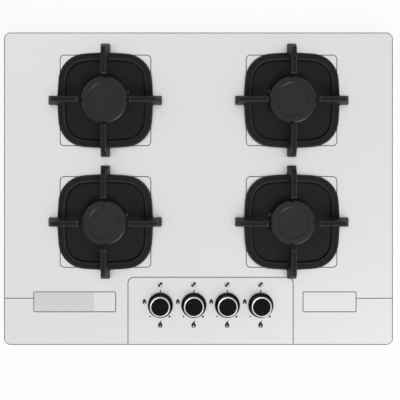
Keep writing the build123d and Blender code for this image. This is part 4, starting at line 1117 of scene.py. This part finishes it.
class COOKTOP_OT_burner_caps(CooktopOperator, bpy.types.Operator):
    """Turn the enamelled caps with their dished middles"""

    bl_idname = "cooktop.burner_caps"
    bl_label = "Burner caps"

    def execute(self, context):
        enamel = smooth_enamel(
            "matt_cap_enamel", self.colours.cap, roughness=0.22, specular=0.28
        )
        for burner in BURNERS:
            node = f"burner_cap_{burner}"
            rim, bottom, top = radius_and_heights(node)
            seat = bottom + 2.2
            skirt = rim - 6.4
            step = rim - 10.6
            dish = top - 1.75
            outline = rounded_outline(
                [
                    (0.0, dish, 0.0),
                    (0.0, seat + 1.3, 0.0),
                    (skirt - 2.0, seat + 1.3, 0.4),
                    (skirt - 2.0, seat - 2.2, 0.3),
                    (skirt, seat - 2.2, 0.3),
                    (skirt, seat, 0.0),
                    (rim, seat, 0.5),
                    (rim, top - 1.5, 0.7),
                    (rim - 2.2, top - 0.45, 1.0),
                    (step + 1.9, top, 0.4),
                    (step + 0.3, top - 0.78, 0.3),
                    (step - 0.3, dish, 0.4),
                ]
            )
            cap = turned_object(node + "_enamelled", outline, foot_point(node))
            use(cap, enamel)
            smooth_by_angle(cap, 40)
            stand_for(cap, node, "cap_enamel")
        return {"FINISHED"}


class COOKTOP_OT_burner_heads(CooktopOperator, bpy.types.Operator):
    """Build the cast heads with a ring of flame ports"""

    bl_idname = "cooktop.burner_heads"
    bl_label = "Burner heads"

    def execute(self, context):
        aluminium = burner_aluminium()
        tree = port_ring_tree()
        rim_wall = 4.0
        for burner in BURNERS:
            node = f"burner_head_{burner}"
            rim, base, top = radius_and_heights(node)
            bore = rim - rim_wall
            floor = top - 7.0
            port_floor = top - self.sizes.port_depth / MM
            seat = base + 10.8
            waist = seat + 6.2
            cup = rim - 6.0
            skirt = cup - 3.4
            outline = rounded_outline(
                [
                    (9.0, seat - 2.5, 0.4),
                    (9.0, floor + 4.0, 0.6),
                    (11.5, floor + 2.0, 1.0),
                    (11.5, floor, 0.8),
                    (bore, floor, 1.2),
                    (bore, port_floor, 0.2),
                    (rim, port_floor, 0.2),
                    (rim, waist, 1.2),
                    (cup, seat, 0.6),
                    (skirt, seat, 0.5),
                    (skirt, base, 0.5),
                    (skirt - 2.5, base, 0.5),
                    (skirt - 2.5, floor - 2.5, 1.0),
                    (11.5, floor - 2.5, 1.0),
                    (11.5, seat - 2.5, 0.6),
                ],
                steps=4,
            )
            centre = foot_point(node)
            head = turned_object(node + "_ported", outline, centre)
            values = {
                "Count": self.sizes.port_count,
                "Rim Radius": rim * MM,
                "Rim Wall": rim_wall * MM,
                "Port Width": self.sizes.port_width,
                "Port Depth": self.sizes.port_depth,
                "Port Floor": port_floor * MM,
                "Centre X": centre.x,
                "Centre Y": centre.y,
                "Material": aluminium,
            }
            tree.apply_to(head, values)
            add_bevel(head, 0.25 * MM, 50)
            bake_modifiers(head)
            smooth_by_angle(head, 40)
            stand_for(head, node, "burner_aluminium")
        return {"FINISHED"}


class COOKTOP_OT_burner_bases(CooktopOperator, bpy.types.Operator):
    """Give the cups under the heads a cast finish and the injectors turned brass"""

    bl_idname = "cooktop.burner_bases"
    bl_label = "Burner bases and injectors"

    def execute(self, context):
        aluminium = burner_aluminium()
        for burner in BURNERS:
            node = f"burner_base_{burner}"
            finish_copy(node, "_cast", "burner_aluminium", 0.3 * MM, aluminium)
        finish_copy("injectors", "_turned", "brass", 0.15 * MM, turned_brass())
        return {"FINISHED"}


class COOKTOP_OT_electrodes(CooktopOperator, bpy.types.Operator):
    """Turn the glazed spark electrodes and the steel flame probes"""

    bl_idname = "cooktop.electrodes"
    bl_label = "Electrodes and probes"

    def execute(self, context):
        segments = self.sizes.turned_segments // 4
        work = bmesh.new()
        for place, bottom, top in self.stems("spark_electrodes"):
            insulator, pin = self.electrode(bottom, top)
            add_turned(work, insulator, place, segments)
            for face in add_turned(work, pin, place, segments):
                face.material_index = 1
        electrodes = mesh_object(work, "spark_electrodes_glazed")
        use(
            electrodes,
            glazed_ceramic("glazed_insulator"),
            turned_metal("electrode_pin", (0.045, 0.042, 0.04), 0.42),
        )
        smooth_by_angle(electrodes, 40)
        stand_for(electrodes, "spark_electrodes", "ceramic_dark")

        work = bmesh.new()
        for place, bottom, top in self.stems("thermocouples"):
            probe, nut = self.probe(bottom, top)
            add_turned(work, probe, place, segments)
            add_turned(work, nut, place, 6)
        probes = mesh_object(work, "thermocouples_tinted")
        use(probes, turned_metal("heat_tinted_steel", (0.05, 0.045, 0.041), 0.42))
        smooth_by_angle(probes, 40)
        stand_for(probes, "thermocouples", "probe_steel")
        return {"FINISHED"}

    @staticmethod
    def stems(node):
        """Place, and bottom and top in millimetres, of every upright solid in a node."""
        found = []
        for low, high in islands(node):
            centre = (low + high) / 2
            found.append((Vector((centre.x, centre.y, 0.0)), low.z / MM, high.z / MM))
        return found

    @staticmethod
    def electrode(bottom, top):
        """Profiles of the collared insulator and of the pin in it."""
        shoulder = top - 6.0
        collar, collar_top = bottom + 8.7, bottom + 10.7
        insulator = rounded_outline(
            [
                (0.0, bottom, 0.0),
                (3.0, bottom, 0.3),
                (3.0, collar, 0.0),
                (4.5, collar, 0.3),
                (4.5, collar_top, 0.3),
                (3.0, collar_top, 0.0),
                (3.0, shoulder - 5.2, 0.2),
                (2.6, shoulder - 4.7, 0.2),
                (2.6, shoulder - 4.0, 0.2),
                (3.0, shoulder - 3.5, 0.2),
                (3.0, shoulder - 1.2, 0.8),
                (1.7, shoulder, 0.5),
                (0.0, shoulder, 0.0),
            ],
            steps=3,
        )
        pin = rounded_outline(
            [
                (0.0, shoulder - 1.0, 0.0),
                (1.1, shoulder - 1.0, 0.0),
                (1.1, top - 1.0, 0.2),
                (0.75, top - 0.1, 0.3),
                (0.0, top, 0.0),
            ],
            steps=3,
        )
        return insulator, pin

    @staticmethod
    def probe(bottom, top):
        """Profiles of the flame probe and of the nut that holds it."""
        probe = rounded_outline(
            [
                (0.0, bottom, 0.0),
                (1.6, bottom, 0.3),
                (1.6, top - 5.0, 0.3),
                (1.45, top - 4.8, 0.1),
                (1.45, top - 1.4, 1.0),
                (0.6, top, 0.3),
                (0.0, top, 0.0),
            ],
            steps=4,
        )
        seat, nut_top = bottom + 8.7, bottom + 10.7
        nut = rounded_outline(
            [
                (1.5, seat, 0.0),
                (4.5, seat, 0.3),
                (4.5, nut_top, 0.3),
                (1.5, nut_top, 0.0),
            ],
            steps=3,
        )
        return probe, nut


# ---------------------------------------------------------------- operators: controls


class COOKTOP_OT_knobs(CooktopOperator, bpy.types.Operator):
    """Turn the flared knobs with their pointers and bright rings"""

    bl_idname = "cooktop.knobs"
    bl_label = "Knobs and rings"

    # Height above the knob's foot and radii, in millimetres
    ring_seat = 15.5
    disc_radius = 13.35
    face_radius = 12.8

    def execute(self, context):
        black = self.colours.knob
        plastic = moulded_plastic("knob_satin_black", black, roughness=0.3, specular=0.12)
        duller = [part * 0.7 for part in black]
        face_plastic = moulded_plastic("knob_face_black", duller, roughness=0.45, specular=0.08)
        chrome = turned_metal("bright_ring", (0.7, 0.7, 0.71), 0.24, ring=0.2)
        for burner in BURNERS:
            node = f"knob_{burner}"
            place = foot_point(node)
            seat = radius_and_heights(node)[1] + self.ring_seat
            knob = self.knob(node, place, seat)
            use(knob, plastic, face_plastic)
            smooth_by_angle(knob, 40)
            stand_for(knob, node, "knob_black")

            ring_node = f"knob_ring_{burner}"
            ring = self.ring(ring_node, place, seat)
            use(ring, chrome)
            smooth_by_angle(ring, 50)
            stand_for(ring, ring_node, "ring_chrome")
        return {"FINISHED"}

    def knob(self, node, place, seat):
        """Hollow knob with its hub, pointer and a face of its own finish."""
        skirt, foot, top = radius_and_heights(node)
        body = skirt - 3.95
        outline = rounded_outline(
            [
                (0.0, top - 0.45, 0.0),
                (12.3, top - 0.05, 1.5),
                (self.disc_radius, top - 0.6, 0.3),
                (self.disc_radius, seat, 0.0),
                (body, seat, 0.5),
                (body + 0.35, foot + 8.0, 3.0),
                (body + 0.75, foot + 4.4, 2.2),
                (skirt - 0.5, foot + 1.7, 0.0),
                (skirt, foot + 1.2, 0.25),
                (skirt, foot, 0.25),
                (skirt - 1.8, foot, 0.2),
                (body - 1.8, foot + 4.0, 1.0),
                (body - 1.8, foot + 12.2, 1.0),
                (6.5, foot + 12.2, 0.5),
                (6.5, foot + 1.0, 0.3),
                (4.1, foot + 1.0, 0.0),
                (4.1, foot + 12.3, 0.0),
                (0.0, foot + 12.3, 0.0),
            ]
        )
        work = bmesh.new()
        for face in add_turned(work, outline, place, self.sizes.turned_segments):
            offset = face.calc_center_median() - place
            if offset.z > (seat + 1.0) * MM and offset.xy.length < self.face_radius * MM:
                face.material_index = 1
        self.add_pointer(work, place, body, skirt, foot, seat)
        return mesh_object(work, node + "_moulded")

    def ring(self, node, place, seat):
        """Bright ring pressed on round the knob's face."""
        bore, rim = self.disc_radius + 0.1, 15.28
        top = radius_and_heights(node)[2]
        outline = rounded_outline(
            [
                (bore, seat + 0.02, 0.1),
                (rim, seat + 0.02, 0.1),
                (rim, top - 0.02, 0.8),
                (14.5, top, 0.6),
                (bore, top - 0.25, 0.3),
            ]
        )
        return turned_object(node + "_bright", outline, place)

    @staticmethod
    def add_pointer(work, place, body, skirt, foot, seat):
        """Raised rib on the skirt that points at the off mark."""
        side_view = rounded_outline(
            [
                (body - 0.9, foot + 4.0, 0.0),
                (skirt - 0.9, foot + 1.0, 0.2),
                (skirt - 0.05, foot + 2.0, 0.4),
                (body + 0.1, seat - 2.2, 0.6),
            ],
            steps=3,
        )
        half_width = 0.85 * MM
        sides = [
            [work.verts.new((place.x + offset, place.y + along, up)) for along, up in side_view]
            for offset in (-half_width, half_width)
        ]
        faces = [work.faces.new(side) for side in sides] + add_walls(work, *sides)
        bmesh.ops.recalc_face_normals(work, faces=faces)


class COOKTOP_OT_dial_marks(CooktopOperator, bpy.types.Operator):
    """Print plain marks round the knobs: off, large flame, small flame and burner place"""

    bl_idname = "cooktop.dial_marks"
    bl_label = "Dial marks"

    # Places from the knob's middle and radii, in millimetres
    dots = (
        (-16.0, -17.6, 1.2),
        (14.0, -17.8, 1.6),
        (0.9, -25.2, 1.0),
        (-13.9, 15.4, 0.6),
    )

    def execute(self, context):
        ink = printed_ink("printed_black", self.colours.ink)
        bottom = PLATE_FACE - 0.02 * MM
        top = PLATE_FACE + self.sizes.print_thickness
        work = bmesh.new()
        places, radii = [], []
        for burner in BURNERS:
            knob = foot_point(f"knob_ring_{burner}")
            self.add_tick(work, self.beside(knob, 0.0, 21.3), bottom, top)
            self.add_burner_place(work, self.beside(knob, -0.4, 31.6), bottom, top)
            self.add_flame(work, self.beside(knob, -24.7, 5.2), 1.0, bottom, top)
            self.add_flame(work, self.beside(knob, -0.3, -30.8), 1.15, bottom, top)
            for across, along, radius in self.dots:
                spot = self.beside(knob, across, along)
                places.append((spot.x, spot.y, (bottom + top) / 2))
                radii.append(radius * MM)
        marks = mesh_object(work, "dial_marks_printed")
        use(marks, ink)
        place_on(marks, "hob", "knob_black")

        dots = points_object("dial_dots_printed", places, radii=radii)
        dot_tree().apply_to(dots, {"Thickness": top - bottom, "Material": ink})
        bake_modifiers(dots)
        place_on(dots, "hob", "knob_black")
        return {"FINISHED"}

    @staticmethod
    def beside(knob, across, along):
        """Place beside a knob, from distances in millimetres."""
        return Vector((knob.x + across * MM, knob.y + along * MM, 0.0))

    @staticmethod
    def add_tick(work, place, bottom, top):
        """Short line towards the knob at its off position."""
        add_plate(work, rounded_box(0.8, 2.2, 0.3, steps=3), place, bottom, top)

    @staticmethod
    def add_burner_place(work, place, bottom, top):
        """Rounded square outline with a bold diagonal."""
        outer = rounded_box(3.9, 3.9, 2.6, steps=6)
        inner = rounded_box(3.4, 3.4, 2.1, steps=6)
        add_band(work, outer, inner, place, bottom, top)
        diagonal = rounded_outline(
            [
                (-3.5, -3.1, 0.8),
                (-1.2, -3.5, 0.8),
                (3.5, 1.2, 0.8),
                (3.4, 3.4, 1.4),
                (1.2, 3.5, 0.8),
                (-3.5, -1.2, 0.8),
            ],
            steps=4,
        )
        add_plate(work, diagonal, place, bottom, top)

    @staticmethod
    def add_flame(work, place, size, bottom, top):
        """Pointed flame with a lighter heart."""
        outer, inner = [], []
        steps = 40
        for step in range(steps):
            angle = 2 * pi * step / steps
            along = cos(angle)
            width = abs(sin(angle)) ** 1.25 * (1.0 - 0.28 * along)
            across = width if sin(angle) >= 0 else -width
            tip = 0.35 * max(0.0, along)
            outer.append(Vector((across * 3.0, along * 4.1 + tip)) * size * MM)
            inner.append(Vector((across * 0.95, along * 1.2 - 2.1)) * size * MM)
        add_band(work, outer, inner, place, bottom, top)


class COOKTOP_OT_taps(CooktopOperator, bpy.types.Operator):
    """Finish the gas taps, their plugs and spindles and the rubber seals"""

    bl_idname = "cooktop.taps"
    bl_label = "Gas taps and seals"

    def execute(self, context):
        stamped = cast_aluminium("stamped_aluminium", (0.6, 0.6, 0.61))
        steel = turned_metal("spindle_bright_steel", (0.58, 0.58, 0.59), 0.28)
        rubber = soft_rubber("spindle_seal_rubber", (0.02, 0.02, 0.02), pores=0.3)
        for burner in BURNERS:
            for node, slot, width, material in (
                (f"gas_tap_{burner}", "tap_aluminium", 0.4 * MM, stamped),
                (f"tap_plug_{burner}", "brass", 0.15 * MM, turned_brass()),
                (f"tap_spindle_{burner}", "spindle_steel", 0.15 * MM, steel),
            ):
                finish_copy(node, "_finished", slot, width, material)
        finish_copy("knob_seals", "_rubber", "black_rubber", 0.2 * MM, rubber)
        return {"FINISHED"}


# ---------------------------------------------------------------- operators: gas and wiring


class COOKTOP_OT_pipes(CooktopOperator, bpy.types.Operator):
    """Smooth the drawn pipes, the gas rail and the probe capillaries"""

    bl_idname = "cooktop.pipes"
    bl_label = "Pipes and capillaries"

    def execute(self, context):
        drawn = turned_metal("drawn_aluminium", (0.66, 0.66, 0.67), 0.3)
        copper = turned_metal("drawn_copper", (0.66, 0.36, 0.24), 0.3)
        for node in [f"supply_pipe_{burner}" for burner in BURNERS] + ["gas_manifold"]:
            finish_copy(node, "_drawn", "pipe_aluminium", 0.0, drawn)
        finish_copy("thermocouple_leads", "_copper", "copper", 0.0, copper)
        return {"FINISHED"}


class COOKTOP_OT_gas_inlet(CooktopOperator, bpy.types.Operator):
    """Build the hexagonal gas inlet with its threaded spigot"""

    bl_idname = "cooktop.gas_inlet"
    bl_label = "Gas inlet"

    def execute(self, context):
        low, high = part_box("gas_inlet")
        centre = (low + high) / 2
        place = (centre.x, 0.0, centre.z)
        start, end = low.y / MM, high.y / MM
        wall = end - 15.8
        tube = rounded_outline(
            [
                (4.5, start, 0.3),
                (9.0, start, 0.5),
                (9.0, wall, 0.0),
                (9.35, wall + 0.9, 0.0),
                (9.35, end - 0.6, 0.4),
                (8.6, end, 0.3),
                (4.5, end, 0.4),
            ],
            steps=3,
        )
        nut = rounded_outline(
            [
                (8.5, wall - 8.0, 0.0),
                (13.6, wall - 8.0, 0.0),
                (15.0, wall - 7.2, 0.2),
                (15.0, wall, 0.2),
                (8.5, wall, 0.0),
            ],
            steps=2,
        )
        work = bmesh.new()
        add_turned(work, tube, place, self.sizes.turned_segments // 2, axis="Y")
        add_turned(work, nut, place, 6, axis="Y")
        inlet = mesh_object(work, "gas_inlet_threaded")
        ridges = 7
        pitch = 1.814
        values = {
            "Count": ridges,
            "Pitch": pitch * MM,
            "Crest Radius": 10.45 * MM,
            "Ridge Height": 1.1 * MM,
            "Start X": centre.x,
            "Start Y": (end - 2.2 - (ridges - 1) * pitch) * MM,
            "Start Z": centre.z,
            "Material": turned_brass(),
        }
        thread_tree().apply_to(inlet, values)
        bake_modifiers(inlet)
        smooth_by_angle(inlet, 32)
        stand_for(inlet, "gas_inlet", "brass")
        return {"FINISHED"}


class COOKTOP_OT_wiring(CooktopOperator, bpy.types.Operator):
    """Finish the spark generator, its leads, the terminal block and the cable gland"""

    bl_idname = "cooktop.wiring"
    bl_label = "Ignition and wiring"

    def execute(self, context):
        black = moulded_plastic("moulded_black", (0.025, 0.025, 0.027), roughness=0.45)
        ivory = moulded_plastic("moulded_ivory", (0.72, 0.7, 0.62), roughness=0.5)
        silicone = soft_rubber("silicone_sleeve", (0.62, 0.6, 0.56), pores=0.4)
        for node, slot, width, material in (
            ("spark_generator", "generator_plastic", 0.5 * MM, black),
            ("cable_gland", "generator_plastic", 0.4 * MM, black),
            ("terminal_block", "terminal_plastic", 0.3 * MM, ivory),
            ("spark_leads", "lead_silicone", 0.0, silicone),
        ):
            finish_copy(node, "_finished", slot, width, material)
        return {"FINISHED"}


# ---------------------------------------------------------------- operator: stage


class COOKTOP_OT_stage(CooktopOperator, bpy.types.Operator):
    """Set up the pale floor, the soft lights and the camera"""

    bl_idname = "cooktop.stage"
    bl_label = "Studio"

    def execute(self, context):
        stage = context.scene.cooktop_stage
        self.add_floor()
        self.add_surround(context, stage)
        front_right = (1.1, -1.6, 1.75)
        key = self.add_light("key_light", stage.key_power, front_right, 1.0)
        self.keep_off(key, "worktop_plate_brushed", "badge_plate_satin")
        self.add_light("sheen_light", stage.sheen_power, front_right, 2.2, lit=False)
        self.add_light("fill_light", stage.fill_power, (-1.5, 1.3, 1.9), 1.8)
        self.add_light("top_light", stage.top_power, (0.3, -0.75, 2.1), 0.9, mirrored=False)
        self.add_camera(context, stage)
        context.scene.view_settings.view_transform = "Standard"
        return {"FINISHED"}

    @staticmethod
    def emptied(owner):
        """Builder for the emptied node tree of a new material or world."""
        owner.use_nodes = True
        owner.node_tree.nodes.clear()
        return NodeBuilder(owner.node_tree)

    @staticmethod
    def background_ray(build):
        """One where a ray shows the background: straight, in a reflection or through glass."""
        path = build.node("ShaderNodeLightPath").outputs
        seen = build.math("MAXIMUM", path["Is Camera Ray"], path["Is Glossy Ray"])
        return build.math("MAXIMUM", seen, path["Is Transmission Ray"])

    def add_floor(self):
        """Pale floor that keeps the object's shadow."""
        work = bmesh.new()
        bmesh.ops.create_grid(work, x_segments=8, y_segments=8, size=6.0)
        floor = mesh_object(work, "studio_floor")
        material = bpy.data.materials.new("pale_floor")
        build = self.emptied(material)
        paper = build.out("ShaderNodeBsdfDiffuse", {"Color": (0.92, 0.92, 0.92, 1.0)})
        glow = build.out("ShaderNodeEmission", {"Color": WHITE})
        share = build.math("MULTIPLY", self.background_ray(build), 0.92)
        mix = build.out("ShaderNodeMixShader", {0: share, 1: paper, 2: glow})
        build.node("ShaderNodeOutputMaterial", {0: mix})
        floor.data.materials.append(material)

    def add_surround(self, context, stage):
        """Even light from all round, and a white background for the camera."""
        world = bpy.data.worlds.new("studio")
        build = self.emptied(world)
        light, white = (
            build.out("ShaderNodeBackground", {"Color": WHITE, "Strength": strength})
            for strength in (stage.surround, 1.0)
        )
        ray = self.background_ray(build)
        mix = build.out("ShaderNodeMixShader", {0: ray, 1: light, 2: white})
        build.node("ShaderNodeOutputWorld", {0: mix})
        context.scene.world = world

    @staticmethod
    def add_light(name, power, place, size, mirrored=True, lit=True):
        """Square soft light aimed at the cooktop's middle, seen in gloss, in matt light or both."""
        lamp = bpy.data.lights.new(name, "AREA")
        lamp.energy = power
        lamp.shape = "SQUARE"
        lamp.size = size
        made = bpy.data.objects.new(name, lamp)
        made.location = place
        aim = Vector((0.0, 0.0, PLATE_FACE)) - Vector(place)
        made.rotation_euler = aim.to_track_quat("-Z", "Y").to_euler()
        made.visible_glossy = mirrored
        made.visible_diffuse = lit
        bpy.context.scene.collection.objects.link(made)
        return made

    @staticmethod
    def keep_off(light, *piece_names):
        """Keep a light off brushed pieces, which would mirror it as a white patch from behind."""
        spared = bpy.data.collections.new(light.name + "_spared")
        for name in piece_names:
            spared.objects.link(bpy.data.objects[name])
        light.light_linking.receiver_collection = spared
        for member in spared.collection_objects:
            member.light_linking.link_state = "EXCLUDE"

    @staticmethod
    def add_camera(context, stage):
        """Camera that looks straight down, shifted so that the plate fills the picture."""
        data = bpy.data.cameras.new("camera_above")
        data.sensor_width = 36.0
        data.lens = data.sensor_width * stage.camera_height / stage.frame_width
        data.shift_x = (stage.frame_middle[0] - stage.camera_place[0]) / stage.frame_width
        data.shift_y = (stage.frame_middle[1] - stage.camera_place[1]) / stage.frame_width
        camera = bpy.data.objects.new("camera_above", data)
        camera.location = (*stage.camera_place, PLATE_FACE + stage.camera_height)
        context.scene.collection.objects.link(camera)
        context.scene.camera = camera


# ---------------------------------------------------------------- panel and start


PIECE_OPERATORS = (
    COOKTOP_OT_worktop_plate,
    COOKTOP_OT_badge_plate,
    COOKTOP_OT_tray,
    COOKTOP_OT_screws,
    COOKTOP_OT_drip_plates,
    COOKTOP_OT_pan_supports,
    COOKTOP_OT_burner_caps,
    COOKTOP_OT_burner_heads,
    COOKTOP_OT_burner_bases,
    COOKTOP_OT_electrodes,
    COOKTOP_OT_knobs,
    COOKTOP_OT_dial_marks,
    COOKTOP_OT_taps,
    COOKTOP_OT_pipes,
    COOKTOP_OT_gas_inlet,
    COOKTOP_OT_wiring,
    COOKTOP_OT_stage,
)


class COOKTOP_PT_pieces(bpy.types.Panel):
    """List of the cooktop's pieces and settings"""

    bl_idname = "COOKTOP_PT_pieces"
    bl_label = "Gas cooktop"
    bl_space_type = "VIEW_3D"
    bl_region_type = "UI"
    bl_category = "Cooktop"

    def draw(self, context):
        layout = self.layout
        for operator in PIECE_OPERATORS:
            layout.operator(operator.bl_idname)
        for title, group in (
            ("Sizes", context.scene.cooktop_sizes),
            ("Colours", context.scene.cooktop_colours),
            ("Studio", context.scene.cooktop_stage),
        ):
            box = layout.box()
            box.label(text=title)
            for name in group.__annotations__:
                box.prop(group, name)


CLASSES = (CooktopSizes, CooktopColours, CooktopStage, *PIECE_OPERATORS, COOKTOP_PT_pieces)


def register():
    """Register the classes and hang the settings on the scene."""
    for cls in CLASSES:
        bpy.utils.register_class(cls)
    bpy.types.Scene.cooktop_sizes = PointerProperty(type=CooktopSizes)
    bpy.types.Scene.cooktop_colours = PointerProperty(type=CooktopColours)
    bpy.types.Scene.cooktop_stage = PointerProperty(type=CooktopStage)


def unregister():
    """Take the settings and the classes away again."""
    del bpy.types.Scene.cooktop_stage
    del bpy.types.Scene.cooktop_colours
    del bpy.types.Scene.cooktop_sizes
    for cls in reversed(CLASSES):
        bpy.utils.unregister_class(cls)


def main():
    """Dress every piece and set the stage."""
    register()
    for operator in PIECE_OPERATORS:
        group, name = operator.bl_idname.split(".")
        getattr(getattr(bpy.ops, group), name)()


if __name__ == "__main__":
    main()
